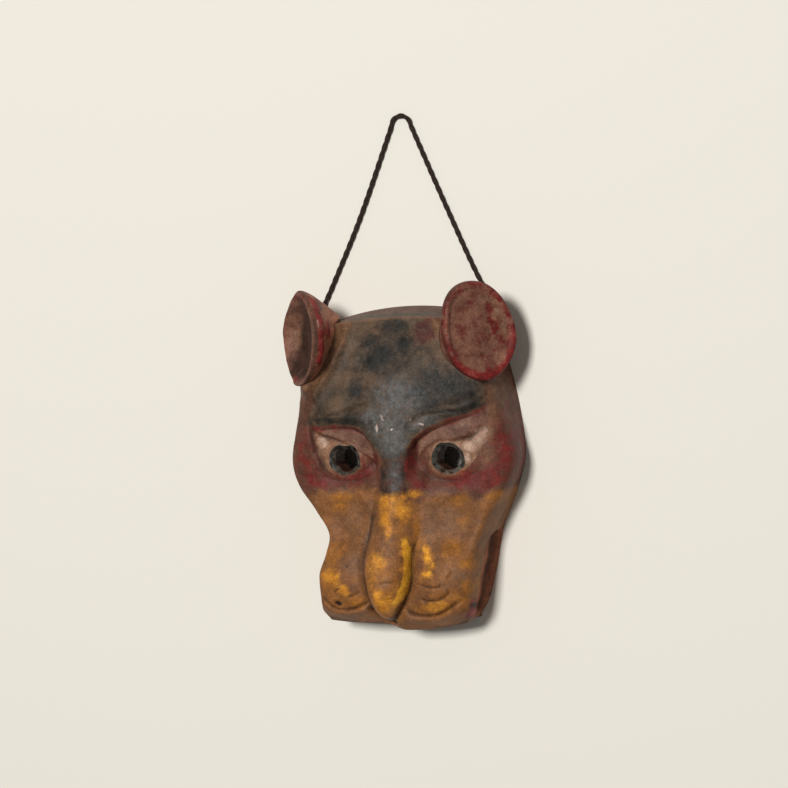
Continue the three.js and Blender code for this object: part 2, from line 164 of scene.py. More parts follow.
def eye_relief(x, y):
    """Socket cut back under the brow edge, a domed eyeball in it, an upper lid standing over the dome
    from its edge up to the crease under the brow, a groove along the lower lid that deepens at the left
    eye's outer end, and a rolled brow."""
    across = np.abs(x)
    below = -slanted(BROW_LINE, x, y)
    over_lid = slanted(LID_LINE, x, y)
    over_lower = slanted(LOWER_LID_LINE, x, y)
    reach = ease(64, 48, across)
    left_end = ease(43, 49, -x) * ease(-13, -5, y)
    socket = ease(-0.3, 2.6, below) * ease(-13 + 9 * left_end, 1.5, over_lower) * reach
    socket = socket * ease(7.5 + 2.5 * (x < 0), 13 + 2 * (x < 0), across)
    dome = ((across - EYE_X) / EYE_HALF_WIDTH) ** 2 + ((y - EYE_Y) / EYE_HALF_HEIGHT) ** 2
    eyeball = EYE_BULGE * np.maximum(0, 1 - dome) ** 0.85
    lid = ease(-1.1, 1.2, over_lid) * ease(-0.2, 3.4, below) * ease(12, 17, across) * ease(60, 46, across)
    bulge = eyeball * (1 - lid) + (np.maximum(eyeball, LID_FLOOR) + LID_STEP) * lid
    lower = np.exp(-(over_lower / LID_GROOVE_WIDTH) ** 2) * ease(13, 17, across)
    lower = lower * np.maximum(ease(50, 40, across), left_end)
    groove = (LID_GROOVE_DEPTH + LEFT_END_DEPTH * left_end) * lower * ease(60, 55, across)
    roll = np.exp(-((-below - BROW_ROLL_ABOVE) / BROW_ROLL_SPREAD) ** 2) * ease(6, 18, across) * reach
    return bulge - curve_through(SOCKET_DEPTH, across) * socket - groove + BROW_ROLL_HEIGHT * roll


# Forehead: a raised panel whose edge is cut in above the brows and down its left side.
LEFT_CREASE = [
    (-10, 34), (-20, 32.5), (-29, 30.6), (-37, 28), (-43, 27.6), (-48.5, 29), (-52, 33), (-51.5, 40),
    (-43, 52), (-34.5, 68), (-30, 82),
]
RIGHT_CREASE = [(6, 15), (11, 21), (17.4, 25), (24, 27.6), (31, 27.8), (38, 27), (44, 26.4)]
LEFT_COLLAR = [(-36, 92), (-38, 82), (-41, 70), (-46, 59), (-51, 51), (-56, 45)]
RIGHT_COLLAR = [(25, 85), (29.5, 76), (37.5, 64.5), (46, 53), (56, 45.5)]
CREASE_DEPTH, LEFT_CREASE_WIDTH, RIGHT_CREASE_WIDTH = 0.9, 1.1, 1.0
PANEL_EDGE, PANEL_DROP = [(39, 52), (52, 43.5), (68, 34.5), (86, 29)], 1.8
LEFT_COLLAR_HEIGHT, LEFT_COLLAR_WIDTH, RIGHT_COLLAR_HEIGHT, RIGHT_COLLAR_WIDTH = 13, 7.5, 1.5, 2.4


def forehead_relief(x, y):
    """Cuts along the panel's edge, with the ground beside the left one dropping a little away, and a
    collar round the root of each ear, high and broad on the left, low and narrow on the right."""
    left = cut_line(x, y, LEFT_CREASE, CREASE_DEPTH, LEFT_CREASE_WIDTH)
    right = cut_line(x, y, RIGHT_CREASE, CREASE_DEPTH, RIGHT_CREASE_WIDTH)
    edge = curve_through(PANEL_EDGE, y)
    drop = -PANEL_DROP * ease(-1.2, 3.5, -x - edge) * ease(33, 40, y)
    from_left, _ = distance_to_line(x, y, LEFT_COLLAR)
    from_right, _ = distance_to_line(x, y, RIGHT_COLLAR)
    collars = LEFT_COLLAR_HEIGHT * np.exp(-(from_left / LEFT_COLLAR_WIDTH) ** 2)
    collars = collars + RIGHT_COLLAR_HEIGHT * np.exp(-(from_right / RIGHT_COLLAR_WIDTH) ** 2)
    return left + right + drop + collars * ease(90, 84, y)


# Nose: half-width and height by position up the face; its lower half leans to the left.
NOSE_HALF_WIDTH = [
    (-104, 0.6), (-102, 2.6), (-98, 5.6), (-90, 10), (-80, 13.2), (-70, 14.6), (-58, 14.8), (-39, 12.2),
    (-20, 9.5), (2, 8), (16, 9),
]
NOSE_HEIGHT = [
    (-104, 0), (-102, 5), (-98, 9.5), (-90, 12), (-80, 13), (-57, 11), (-39, 8.5), (-20, 6.5), (-5, 4),
    (16, 0),
]
NOSE_CENTRE = [(-104, -10), (-95, -8.4), (-80, -6.4), (-62, -6.4), (-40, -3.8), (-5, 0)]
NOSE_GROOVE_DEPTH, NOSE_GROOVE_WIDTH = 1.6, 3


def nose_share(x, y):
    """Distance from the nose's leaning centreline as a share of its half-width, with its sign."""
    return (x - curve_through(NOSE_CENTRE, y)) / curve_through(NOSE_HALF_WIDTH, y)


def nose_relief(x, y):
    """Nose of half-round section that eases to a soft bell towards the brow, softest on its right, with
    a narrow groove where each flank meets the face, the left one reaching higher."""
    share = nose_share(x, y)
    upper = ease(-58, -18, y)
    soft = upper + 0.9 * (share > 0) * ease(-60, -46, y)
    height = np.maximum(0, 1 - (share / (1 + 0.25 * upper + 0.35 * soft * (share > 0))) ** 2)
    body = curve_through(NOSE_HEIGHT, y) * height ** (0.5 + 0.8 * soft)
    gap = (np.abs(share) - 1) * curve_through(NOSE_HALF_WIDTH, y)
    length = np.where(share < 0, ease(-18, -42, y), ease(-46, -60, y)) * ease(-104, -97, y)
    return body - NOSE_GROOVE_DEPTH * np.exp(-(gap / NOSE_GROOVE_WIDTH) ** 2) * length


# Muzzle: two lobes with lips and wrinkles cut into them, some cracks and a knot hole.
LOBE_X, LOBE_Y, LOBE_HALF_WIDTH, LOBE_HALF_HEIGHT, LOBE_HEIGHT = 32, -80, 27, 29, 6
RIGHT_LIP = [
    (2, -94), (7.5, -97), (12, -98.2), (17, -98.5), (22.4, -97.7), (28, -95.4), (33.5, -92.2), (37, -89.6),
    (40, -86),
]
LEFT_LIP = [
    (-51.5, -85.5), (-50, -89), (-46.4, -93), (-41, -94.8), (-35.5, -95), (-29, -93.5), (-24, -91.2),
    (-18.5, -88.6),
]
MUZZLE_CUTS = [
    ([(14, -78.2), (18.8, -79.4), (23.5, -79.7), (26.6, -79.4), (29, -77.6)], 1, 0.9),
    ([(13.4, -86.8), (17.6, -88.2), (22.3, -88.4), (27, -87.3), (30.3, -85.4), (32.8, -83), (33.4, -80)],
     1.25, 1),
    ([(30.5, -79.5), (32.4, -77), (33, -74)], 0.5, 0.8),
    ([(32.5, -73.8), (34, -72), (35.4, -69.8)], 0.9, 0.6),
    ([(-34, -86.4), (-30.7, -85.7), (-28.2, -84.9), (-25.7, -83.4), (-23.5, -82)], 0.8, 0.6),
    ([(-43.4, -82.5), (-41.4, -83.1), (-39.7, -81.4), (-37.4, -80.9)], 0.9, 0.6),
    ([(-8, -76.4), (-4.8, -75.5), (-2.4, -75.2), (1.4, -76.8)], 0.7, 0.5),
    ([(-12.6, -85.4), (-7.7, -86.4), (-2.9, -86.3), (0.7, -85.4), (3.8, -82.2)], 0.45, 0.7),
    ([(-33.6, -66.2), (-32.2, -67.4)], 0.9, 0.8),
    ([(-21, -92), (-14.5, -99), (-5, -105.5)], 4, 1.8),
]
LIP_DEPTH, LIP_WIDTH, LIP_ROLL_HEIGHT, LIP_ROLL_BELOW, LIP_ROLL_SPREAD = 1.8, 1.1, 1.4, 3.6, 2.6
KNOT_HOLE_X, KNOT_HOLE_Y = -40.9, -91
KNOT_HOLE_HALF_WIDTH, KNOT_HOLE_HALF_HEIGHT, KNOT_HOLE_DEPTH = 2.9, 2.3, 2.5
CHEEK_X, CHEEK_Y, CHEEK_HALF_WIDTH, CHEEK_HALF_HEIGHT, CHEEK_DEPTH = 36, -40, 20, 22, 4


def mound(x, y, half_width, half_height):
    """Rounded mound with an elliptical outline, 1 in the middle and level at its edge."""
    return np.maximum(0, 1 - (x / half_width) ** 2 - (y / half_height) ** 2) ** 1.5


def muzzle_relief(x, y):
    """Two mounds for the lobes and two shallow hollows for the cheeks, with a cut along each lip, the
    lower lip rolling out under it, and the wrinkles, cracks and knot hole."""
    across = np.abs(x)
    lobes = LOBE_HEIGHT * mound(across - LOBE_X, y - LOBE_Y, LOBE_HALF_WIDTH, LOBE_HALF_HEIGHT)
    cheeks = -CHEEK_DEPTH * mound(across - CHEEK_X, y - CHEEK_Y, CHEEK_HALF_WIDTH, CHEEK_HALF_HEIGHT)
    relief = lobes + cheeks
    for lip in (RIGHT_LIP, LEFT_LIP):
        away, share = distance_to_line(x, y, lip)
        lip_y = np.interp(x, *np.array(sorted(lip)).T)
        under = (y < lip_y) * ease(0.02, 0.15, share) * ease(0.98, 0.85, share)
        roll = LIP_ROLL_HEIGHT * np.exp(-((away - LIP_ROLL_BELOW) / LIP_ROLL_SPREAD) ** 2) * under
        relief += cut_line(x, y, lip, LIP_DEPTH, LIP_WIDTH) + roll
    for points, depth, width in MUZZLE_CUTS:
        relief += cut_line(x, y, points, depth, width)
    hole_x, hole_y = (x - KNOT_HOLE_X) / KNOT_HOLE_HALF_WIDTH, (y - KNOT_HOLE_Y) / KNOT_HOLE_HALF_HEIGHT
    return relief - KNOT_HOLE_DEPTH * np.exp(-(hole_x ** 2 + hole_y ** 2) ** 2)


def carving(x, y):
    """Unevenness that the carver's blade left: broad shallow facets and finer dents."""
    return 0.42 * lumps(x, y, 15, 3) + 0.22 * lumps(x, y, 6.5, 4) + 0.1 * lumps(x, y, 2.6, 5)


def outside(column, row):
    """Outside of the mask. The column runs -1 to 1 from rim to rim and the row 0 to 1 from chin to
    crown. Over the face a row is a rounded cross-section from the midline to the widest point of the
    side, with the carved relief added to its depth; past that it runs down the wall to the rim, where z
    is 0. Rows past the chin and the crown run down the end walls. Rows near the eyes follow the brow."""
    end_share = END_ROWS / (FACE_ROWS + 2 * END_ROWS)
    a = np.minimum(1, np.abs(column) / FACE_SHARE)
    down = np.maximum(0, (np.abs(column) - FACE_SHARE) / (1 - FACE_SHARE))
    crown = row > 0.5
    out = np.maximum(0, (np.abs(row - 0.5) - (0.5 - end_share)) / end_share)
    along = np.clip((row - end_share) / (1 - 2 * end_share), 0, 1)
    straight = SECTION_Y[0] + (SECTION_Y[-1] - SECTION_Y[0]) * along

    def section(values, y):
        return curve_through(np.stack([SECTION_Y, values], 1), y)

    angle = np.pi / 2 * (0.85 * a + 0.15 * a ** 3)
    across = np.sin(angle)
    follow = np.maximum(0, 1 - ((straight - BROW_LEVEL) / BROW_REACH) ** 2) ** 2
    brow = eye_line(BROW_LINE, np.sign(column) * across * section(SIDE_HALF, straight))
    level = straight + follow * (brow - BROW_LEVEL)
    chin_arch = np.where(column > 0, CHIN_ARCH, LEFT_CHIN_ARCH) * across ** 2
    chin_arch = chin_arch + LEFT_CHIN_RAISE * ease(0, -0.25, np.sign(column) * across)
    bow = np.where(crown, CROWN_ARCH * across ** 2 * ease(0.55, 1, along), chin_arch * ease(0.45, 0, along))
    wall = np.where(crown, CROWN_WALL, CHIN_WALL)
    rim_arch = np.where(crown, CROWN_RIM_ARCH, CHIN_RIM_ARCH)
    y = level + bow + out * (wall + rim_arch * across ** 2) * (1 - 0.5 * down)

    trim = np.where(column > 0, curve_through(RIGHT_TRIM, level), curve_through(LEFT_TRIM, level))
    side = section(SIDE_HALF, level) - trim
    flare = section(RIM_HALF, level) - (column > 0) * curve_through(RIGHT_RIM_TRIM, level) - side
    inward = down ** (1.5 - 0.75 * ease(-3, 6, flare))
    turned = 1 - (1 - inward) * (1 - out ** 1.5)
    half = (side + flare * turned) * across * (1 - END_TAPER * out * (1 - down))
    blade = 0.35 * lumps(y + 40 * np.sign(column), 30 * down, 8, 6) + 0.15 * lumps(y, 40 * down, 3, 7)
    half = half + blade * ease(0, 0.25, down) * ease(1, 0.85, down)

    x = np.sign(column) * half
    depth = section(SIDE_DEPTH, level)
    z = depth + (section(MIDLINE_DEPTH, level) - depth) * np.cos(angle) ** FACE_ROUNDING
    relief = eye_relief(x, y) + forehead_relief(x, y) + nose_relief(x, y) + muzzle_relief(x, y)
    z = z + (relief * ease(1, 0.9, a) + carving(x, y)) * (down == 0)
    return np.stack([x, y, z * (1 - down) * (1 - out)], -1)


def soften(points):
    """Rounds the edge where the face turns down into the side walls, most of all on the right of the
    muzzle: points near it move toward the mean of their two neighbours along the row, many times."""
    count = points.shape[1]
    column = np.linspace(-1, 1, count)
    place = np.abs(column) * (FACE_COLUMNS + WALL_COLUMNS) - FACE_COLUMNS
    muzzle = ease(-12, -45, points[:, count // 2, 1])[:, None] * (column > 0)
    weight = ease(-18 - 24 * muzzle, -3, place) * ease(8 + 4 * muzzle, 3 + 2 * muzzle, place)
    weight = weight * (0.2 + 0.6 * muzzle)
    for _ in range(SOFTENING_ROUNDS):
        middle = (points[:, :-2] + points[:, 2:]) / 2
        points[:, 1:-1] += weight[:, 1:-1, None] * (middle - points[:, 1:-1])
    return points


# Recess scooped into each side wall between the muzzle and the rim.
RECESS_FROM, RECESS_TO, RECESS_DEPTH = -106, -48.5, 5
RECESS_EDGE = [
    (-106, 0.05), (-90, 0.08), (-82, 0.14), (-75, 0.21), (-63, 0.26), (-57, 0.31), (-53, 0.42), (-50, 0.6),
    (-46, 0.9),
]
PIT_Y, PIT_DOWN, PIT_DEPTH = -93, 0.03, 2.6


def scoop(points, column):
    """Depth of the recess at each place: it has a sharp upper edge that runs to a point at the top, fades
    out at the chin and toward the rim, and has rough gouge marks and, on the right, a pit in its edge."""
    y = points[..., 1]
    down = np.maximum(0, (np.abs(column) - FACE_SHARE) / (1 - FACE_SHARE))
    edge = curve_through(RECESS_EDGE, y) + 0.03 * lumps(y, np.sign(column), 7, 8)
    inside = ease(edge - 0.03, edge + 0.03, down) * ease(1, 0.84, down)
    inside = inside * ease(RECESS_FROM, RECESS_FROM + 9, y) * ease(RECESS_TO, RECESS_TO - 4, y)
    pit = np.exp(-((y - PIT_Y) / 3) ** 2 - ((down - PIT_DOWN) / 0.08) ** 2) * (column > 0) * (down > 0)
    return inside * (RECESS_DEPTH + 0.9 * np.abs(lumps(y / 5, 30 * down, 4, 17))) + PIT_DEPTH * pit


# Ears: dished discs turned outward. Rings from the middle of the dish over its rim and down the back
# to the root, as share of radius, depth along the ear's axis, and drop toward the chin.
EAR_Y, EAR_Z, EAR_LEAN, EAR_HALF_WIDTH, EAR_HALF_HEIGHT = 75, 44, 15, 24, 30.5
EAR_X = {1: 59, -1: 60}
EAR_TURN = {1: 45, -1: 46}
EAR_KEEL = {1: 0.1, -1: 0.4}
EAR_INNER_CUT = {1: 0, -1: 0.15}
EAR_INNER_WIDTH = {1: 0, -1: 0.18}
EAR_POINT = {1: (0, 0), -1: (0.7, 0.42)}
RIGHT_EAR_RINGS = np.array([
    (0, -0.6, 0), (0.3, -0.8, 0), (0.6, -1.5, 0), (0.8, -1.2, 0), (0.88, 0.1, 0), (0.95, 0.6, 0),
    (1, -0.9, 0), (0.99, -5, 0), (0.88, -10, 1.5), (0.74, -18, 5), (0.6, -33, 9), (0, -33, 9),
])
LEFT_EAR_RINGS = np.array([
    (0, -9, 0), (0.3, -8.8, 0), (0.58, -7.4, 0), (0.76, -4, 0), (0.87, -0.6, 0), (0.95, 0.9, 0),
    (1, -0.3, 0), (0.985, -3.5, 0), (0.88, -10, 0), (0.68, -18, 0), (0.4, -31, 1), (0, -31, 1),
])


def ear_axes(sign):
    """Unit directions of an ear: sideways and upward in its plane, and the way it faces."""
    turn, lean = np.radians([EAR_TURN[sign], EAR_LEAN])
    outward = np.array([np.cos(turn), 0, -np.sin(turn)])
    facing = np.array([np.sin(turn), 0, np.cos(turn)])
    upward = np.array([0, np.cos(lean), 0]) - np.sin(lean) * outward
    sideways = np.cross(upward, facing)
    mirror = np.array([sign, 1, 1])
    return sideways / np.linalg.norm(sideways) * mirror, upward * mirror, facing * mirror


def ear(angle, ring, sign):
    """Ear by angle round its axis and place along its rings, each ring an uneven ellipse carried along
    the ear's axis; sign 1 is the right ear and -1 the left."""
    table = RIGHT_EAR_RINGS if sign > 0 else LEFT_EAR_RINGS
    steps = np.arange(len(table))
    share, depth, drop = [curve_through(np.stack([steps, values], 1), ring) for values in table.T]
    uneven = 1 + 0.018 * np.cos(3 * angle + sign) + 0.012 * np.cos(5 * angle + 2 * sign)
    keel = np.maximum(0, -np.sin(angle)) * ease(-0.8, -0.1 * sign, np.cos(angle))
    root = EAR_KEEL[sign] * keel - EAR_INNER_CUT[sign] * np.maximum(0, -np.cos(angle))
    share = np.maximum(share, 0) * uneven * (1 + root * ease(-5, -18, depth))
    inner = EAR_INNER_WIDTH[sign] * ease(0, -1, np.cos(angle)) * ease(-28, -8, depth)
    below, above = EAR_POINT[sign]
    height = np.sin(angle)
    point = below * np.clip(-1.25 * height - 0.25, 0, 1) ** 2 + above * np.maximum(0, height)
    right = share * EAR_HALF_WIDTH * np.cos(angle) * (1 + inner - point * ease(-0.1, 0.3, np.cos(angle)))
    up = share * EAR_HALF_HEIGHT * np.sin(angle) - drop
    dents = 0.3 * lumps(right + 90, up + 90 * sign, 7, 11) + 0.18 * lumps(right, up, 3, 12)
    depth = depth + dents * ease(11, 8, ring)
    sideways, upward, facing = ear_axes(sign)
    place = np.array([EAR_X[sign] * sign, EAR_Y, EAR_Z]) + right[..., None] * sideways
    return place + up[..., None] * upward + depth[..., None] * facing


# Hollow behind the face, gouged out to leave a wall of about ten millimetres.
HOLLOW_Y = np.array([-100, -90, -72, -50, -25, 0, 25, 50, 68, 79])
HOLLOW_HALF = np.array([17, 27, 34, 38, 50, 59, 58, 54, 47, 32])
HOLLOW_DEPTH = np.array([14, 25, 32, 31, 28, 30, 33, 31, 25, 15])
HOLLOW_SKIRT = 6


def hollow(column, row):
    """Hollow as half-ellipses across the mask, by column 0 to 1 from side to side and row 0 to 1 from
    chin to crown, with rows of gouge cuts; its border lies below the rim so that it cuts through."""
    y = HOLLOW_Y[0] + (HOLLOW_Y[-1] - HOLLOW_Y[0]) * row
    half = curve_through(np.stack([HOLLOW_Y, HOLLOW_HALF], 1), y)
    depth = curve_through(np.stack([HOLLOW_Y, HOLLOW_DEPTH], 1), y)
    angle = np.pi * column
    x = -half * np.cos(angle)
    lift = np.sin(angle) ** 0.8
    gouges = 0.5 * np.abs(np.sin(x / 3.4 + 1.5 * lumps(x, y, 22, 14))) + 0.5 * lumps(x, y, 11, 15)
    border = (column == 0) | (column == 1) | (row == 0) | (row == 1)
    z = np.where(border, -HOLLOW_SKIRT, depth * lift - gouges * lift)
    return np.stack([x, y, z], -1)


# Eye holes, bevelled by knife at the eyeball, and tie holes through the upper corners.
EYE_BORE = [(10, 7.3), (37.8, 7.3), (38.6, 7.9), (41.2, 10.8), (42.4, 12), (60, 12)]
EYE_BORE_TILT = 0.13
TIE_X, TIE_Y, TIE_Z, TIE_RADIUS, TIE_HEADING = 56, 79, 8, 2.4, 45


def eye_bore(angle, height, sign):
    """Eye hole as a bore along z that opens into a bevel at the eyeball; its outline is an uneven round
    and its height tilts with the slope of the eyeball."""
    uneven = 1 + 0.03 * np.cos(3 * angle + sign) + 0.03 * np.cos(5 * angle + 2)
    uneven = uneven + 0.022 * np.cos(8 * angle + 3 * sign)
    radius = np.interp(height, *np.array(EYE_BORE).T) * uneven
    x = EYE_HOLE_X * sign + radius * np.cos(angle)
    up = radius * np.sin(angle)
    return np.stack([x, EYE_HOLE_Y + up, height + EYE_BORE_TILT * up], -1)


def tie_axes(sign):
    """Unit directions of a tie hole: out along its bore, and across it in the plane of the rim."""
    heading = np.radians(TIE_HEADING)
    out = np.array([sign * np.cos(heading), np.sin(heading), 0])
    return out, np.array([-out[1], out[0], 0])


def tie_bore(angle, along, sign):
    """Tie hole as a round bore on the slanting line through the mask's upper corner."""
    out, across = tie_axes(sign)
    centre = np.array([sign * TIE_X, TIE_Y, TIE_Z]) + along[..., None] * out
    turn = np.cos(angle)[..., None] * across + np.sin(angle)[..., None] * np.array([0, 0, 1])
    return centre + TIE_RADIUS * turn


def grid(columns, rows, first, last, open_columns=False):
    """Two arrays that run evenly over a grid: one along the columns and one along the rows."""
    u = np.linspace(first[0], last[0], columns + 1)
    v = np.linspace(first[1], last[1], rows + 1)
    return np.meshgrid(u[:-1] if open_columns else u, v)


def grid_faces(rows, columns, wrap, first):
    """Faces of a closed grid whose points are numbered on from the first: quads between neighbours, with
    the last column joined to the first and a face over each end where it wraps, or one round the border."""
    number = first + np.arange(rows * columns).reshape(rows, columns)
    if wrap:
        wide = np.concatenate([number, number[:, :1]], 1)
        caps = [number[0, ::-1].tolist(), number[-1].tolist()]
    else:
        wide = number
        border = [number[0, :-1], number[:-1, -1], number[-1, :0:-1], number[:0:-1, 0]]
        caps = [np.concatenate(border)[::-1].tolist()]
    quads = np.stack([wide[:-1, :-1], wide[:-1, 1:], wide[1:, 1:], wide[1:, :-1]], -1).reshape(-1, 4)
    return quads.tolist() + caps


def grid_mesh(name, wrap, *grids):
    """Mesh of one or more closed grids of points in millimetres."""
    faces = []
    first = 0
    for points in grids:
        faces += grid_faces(*points.shape[:2], wrap, first)
        first += points.shape[0] * points.shape[1]
    place = (np.concatenate([points.reshape(-1, 3) for points in grids]) - MIDDLE) * MILLIMETRE
    mesh = bpy.data.meshes.new(name)
    mesh.from_pydata(place.tolist(), [], faces)
    return mesh


def shade_smooth(mesh):
    """Lets every face of a mesh take the light as part of one smooth surface."""
    mesh.polygons.foreach_set("use_smooth", np.ones(len(mesh.polygons), bool))


def add_object(name, data):
    """New object at the origin, linked into the scene."""
    piece = bpy.data.objects.new(name, data)
    bpy.context.scene.collection.objects.link(piece)
    return piece


OUTSIDE_PART, EAR_PART, CUT_PART, RECESS_PART = PARTS = range(4)


def mark_part(mesh, part):
    """Marks faces with a part number, carried by the material slot until the paint is worked out."""
    for _ in PARTS:
        mesh.materials.append(None)
    numbers = np.broadcast_to(part, len(mesh.polygons)).astype(np.int32)
    mesh.polygons.foreach_set("material_index", numbers)


def cut_or_join(body, mesh, operation):
    """Joins a closed mesh to the body or cuts it away from it."""
    other = add_object("tool", mesh)
    modifier = body.modifiers.new(operation, "BOOLEAN")
    modifier.operation = operation
    modifier.solver = "MANIFOLD"
    modifier.object = other
    done = bpy.data.meshes.new_from_object(body.evaluated_get(bpy.context.evaluated_depsgraph_get()))
    body.modifiers.clear()
    body.data = done
    bpy.data.objects.remove(other)


def mean_of_neighbours(values, edges, count):
    """Mean over each vertex's neighbours of values given per vertex, one column at a time."""
    here = np.concatenate([edges[:, 0], edges[:, 1]])
    there = np.concatenate([edges[:, 1], edges[:, 0]])
    number = np.maximum(np.bincount(here, minlength=count), 1)
    sums = [np.bincount(here, weights=column[there], minlength=count) for column in values.T]
    return np.stack(sums, 1) / number[:, None]


def vertex_parts(mesh):
    """Share of each vertex's face corners that lie on each part."""
    part = np.empty(len(mesh.polygons), np.int32)
    corners = np.empty(len(mesh.polygons), np.int32)
    vertex = np.empty(len(mesh.loops), np.int32)
    mesh.polygons.foreach_get("material_index", part)
    mesh.polygons.foreach_get("loop_total", corners)
    mesh.loops.foreach_get("vertex_index", vertex)
    of_corner = np.repeat(part, corners)
    count = len(mesh.vertices)
    total = np.maximum(np.bincount(vertex, minlength=count), 1)
    return [np.bincount(vertex, weights=of_corner == k, minlength=count) / total for k in PARTS]


def places_and_edges(mesh):
    """Vertex places in millimetres in the carver's frame, and the vertex pairs of the edges."""
    flat = np.empty(len(mesh.vertices) * 3)
    mesh.vertices.foreach_get("co", flat)
    edges = np.empty(len(mesh.edges) * 2, np.int32)
    mesh.edges.foreach_get("vertices", edges)
    return flat.reshape(-1, 3) / MILLIMETRE + MIDDLE, edges.reshape(-1, 2)


def blend_seam(mesh, sign, steps, rounds):
    """Rounds the seam between an ear and the face: vertices within a number of edges from it move toward
    the mean of their neighbours, less with distance, over a number of rounds; sign 1 is the right ear."""
    outside_share, ear_share = vertex_parts(mesh)[:2]
    place, edges = places_and_edges(mesh)
    reach = ((outside_share > 0) & (ear_share > 0) & (sign * place[:, 0] > 0)).astype(float)
    for _ in range(1, steps):
        beside = np.zeros(len(reach))
        np.maximum.at(beside, edges[:, 0], reach[edges[:, 1]])
        np.maximum.at(beside, edges[:, 1], reach[edges[:, 0]])
        reach = np.maximum(reach, beside - 1 / steps)
    for _ in range(rounds):
        place += 0.6 * reach[:, None] * (mean_of_neighbours(place, edges, len(place)) - place)
    moved = (place - MIDDLE) * MILLIMETRE
    mesh.vertices.foreach_set("co", moved.ravel())


# Outside, ears joined to it, and hollow and holes cut from it: grids as columns and rows, the share of a
# ring left for the flat cap at each end of an ear, and the ends of the holes' cutters.
EAR_GRID, HOLLOW_GRID, EYE_GRID, TIE_GRID = (84, 66), (72, 96), (64, 44), (20, 6)
EAR_CAP = 0.12
EYE_BORE_FROM, EYE_BORE_TO, TIE_BORE_FROM, TIE_BORE_TO = 12, 58, -24, 20
RECESS_SHOWS = 0.4
SEAM_STEPS, SEAM_ROUNDS = {1: 5, -1: 8}, {1: 10, -1: 40}
column, row = grid(2 * (FACE_COLUMNS + WALL_COLUMNS), FACE_ROWS + 2 * END_ROWS, (-1, 0), (1, 1))
shell = soften(outside(column, row))
scooped = scoop(shell, column)
shell[..., 0] -= np.sign(column) * scooped
mask_mesh = grid_mesh("carved_mask_piece", False, shell)
shell_parts = np.where(scooped[:-1, :-1] > RECESS_SHOWS, RECESS_PART, OUTSIDE_PART)
mark_part(mask_mesh, np.append(shell_parts, OUTSIDE_PART))
mask = add_object("carved_mask_piece", mask_mesh)
for sign in (1, -1):
    turns, rings = grid(*EAR_GRID, (0, EAR_CAP), (2 * np.pi, len(RIGHT_EAR_RINGS) - 1 - EAR_CAP), True)
    ear_mesh = grid_mesh("ear", True, ear(sign * turns, rings, sign))
    mark_part(ear_mesh, EAR_PART)
    cut_or_join(mask, ear_mesh, "UNION")
for sign in (1, -1):
    blend_seam(mask.data, sign, SEAM_STEPS[sign], SEAM_ROUNDS[sign])
cutters = [grid_mesh("hollow", False, hollow(*grid(*HOLLOW_GRID, (0, 0), (1, 1))))]
eye_grid = grid(*EYE_GRID, (0, EYE_BORE_FROM), (2 * np.pi, EYE_BORE_TO), True)
tie_grid = grid(*TIE_GRID, (0, TIE_BORE_FROM), (2 * np.pi, TIE_BORE_TO), True)
for sign in (1, -1):
    cutters.append(grid_mesh("eye_bore", True, eye_bore(*eye_grid, sign)))
    cutters.append(grid_mesh("tie_bore", True, tie_bore(*tie_grid, sign)))
for cutter in cutters:
    mark_part(cutter, CUT_PART)
    cut_or_join(mask, cutter, "DIFFERENCE")


# Where each paint lies, worked out from the place of every vertex.
def blob(x, y, middle_x, middle_y, half_width, half_height, lean=0):
    """Soft-edged ellipse, 1 inside and 0 outside, from its middle, half-width and half-height, and the
    angle in degrees that it leans to the left."""
    cosine, sine = np.cos(np.radians(lean)), np.sin(np.radians(lean))
    u = ((x - middle_x) * cosine + (y - middle_y) * sine) / half_width
    v = ((y - middle_y) * cosine - (x - middle_x) * sine) / half_height
    return ease(1.9, 0.3, np.hypot(u, v))


def blobs(x, y, patches):
    """Strongest of several soft-edged ellipses."""
    return np.max([blob(x, y, *patch) for patch in patches], axis=0)


def band(x, y, points, width):
    """Soft stroke along a bent line, 1 on the line and 0 at the width from it, thinner at its ends."""
    away, share = distance_to_line(x, y, points)
    return ease(width, 0.2 * width, away) * ease(-0.1, 0.12, share) * ease(1.1, 0.88, share)


# Patches of paint as middle, half-width, half-height and lean, and strokes as points along them.
BLACK_PATCHES = [
    (-7, 63, 7, 6), (8, 69, 5, 4), (35, 43, 15, 9.5, -25), (46, 38, 12, 8, -20), (56, 32, 6, 4),
    (-24, 41, 5, 5), (-26, 23, 9, 3), (-16, 23, 6, 4), (20, 39, 8, 5), (-15, 71, 5, 4), (-5, 80, 6, 3),
    (5, 80, 5, 3), (26, 33, 9, 4), (-12, 59, 5, 5), (50, 29.5, 8, 3, 15), (36, 26.5, 8, 3, 12),
    (-44, 24.5, 8, 2.5),
]
BROWN_PATCHES = [
    (-38, 48, 10, 8), (-28, 73, 6, 10), (35, 57, 6, 7), (29, 68, 5, 7), (14, 52, 5, 4), (-19, 31, 5, 3),
    (-35, 34, 9, 5), (22, 56, 5, 5), (-11, 47, 5, 3), (-20, 80, 12, 5),
]
GREY_PATCHES = [
    (-1, 21, 12, 10), (0, 9, 8, 8), (4, 36, 13, 10), (23, 22, 7, 3), (-11, 25, 6, 4), (14, 19, 6, 3),
]
YELLOW_PATCHES = [
    (-1, -27, 8, 4), (5, -33, 4, 5), (-4.5, -36, 3.5, 7), (-3.5, -45, 1.8, 4, -10), (-9.5, -63, 4.5, 5),
    (-12, -70, 2.4, 6), (-8.5, -86, 3, 5), (-5, -90, 5, 6), (-43, -74, 5, 4), (-35, -82, 3.5, 3),
    # The patch at (24, -92) is yellow paint, made larger to lighten the lower right lobe where it turns down,
    # as painted light.
    (24, -92, 7, 3), (13, -22.8, 4, 2),
]
DARK_PATCHES = [(KNOT_HOLE_X, KNOT_HOLE_Y, 1.8, 1.4), (45, -92.5, 1.1, 1.8)]
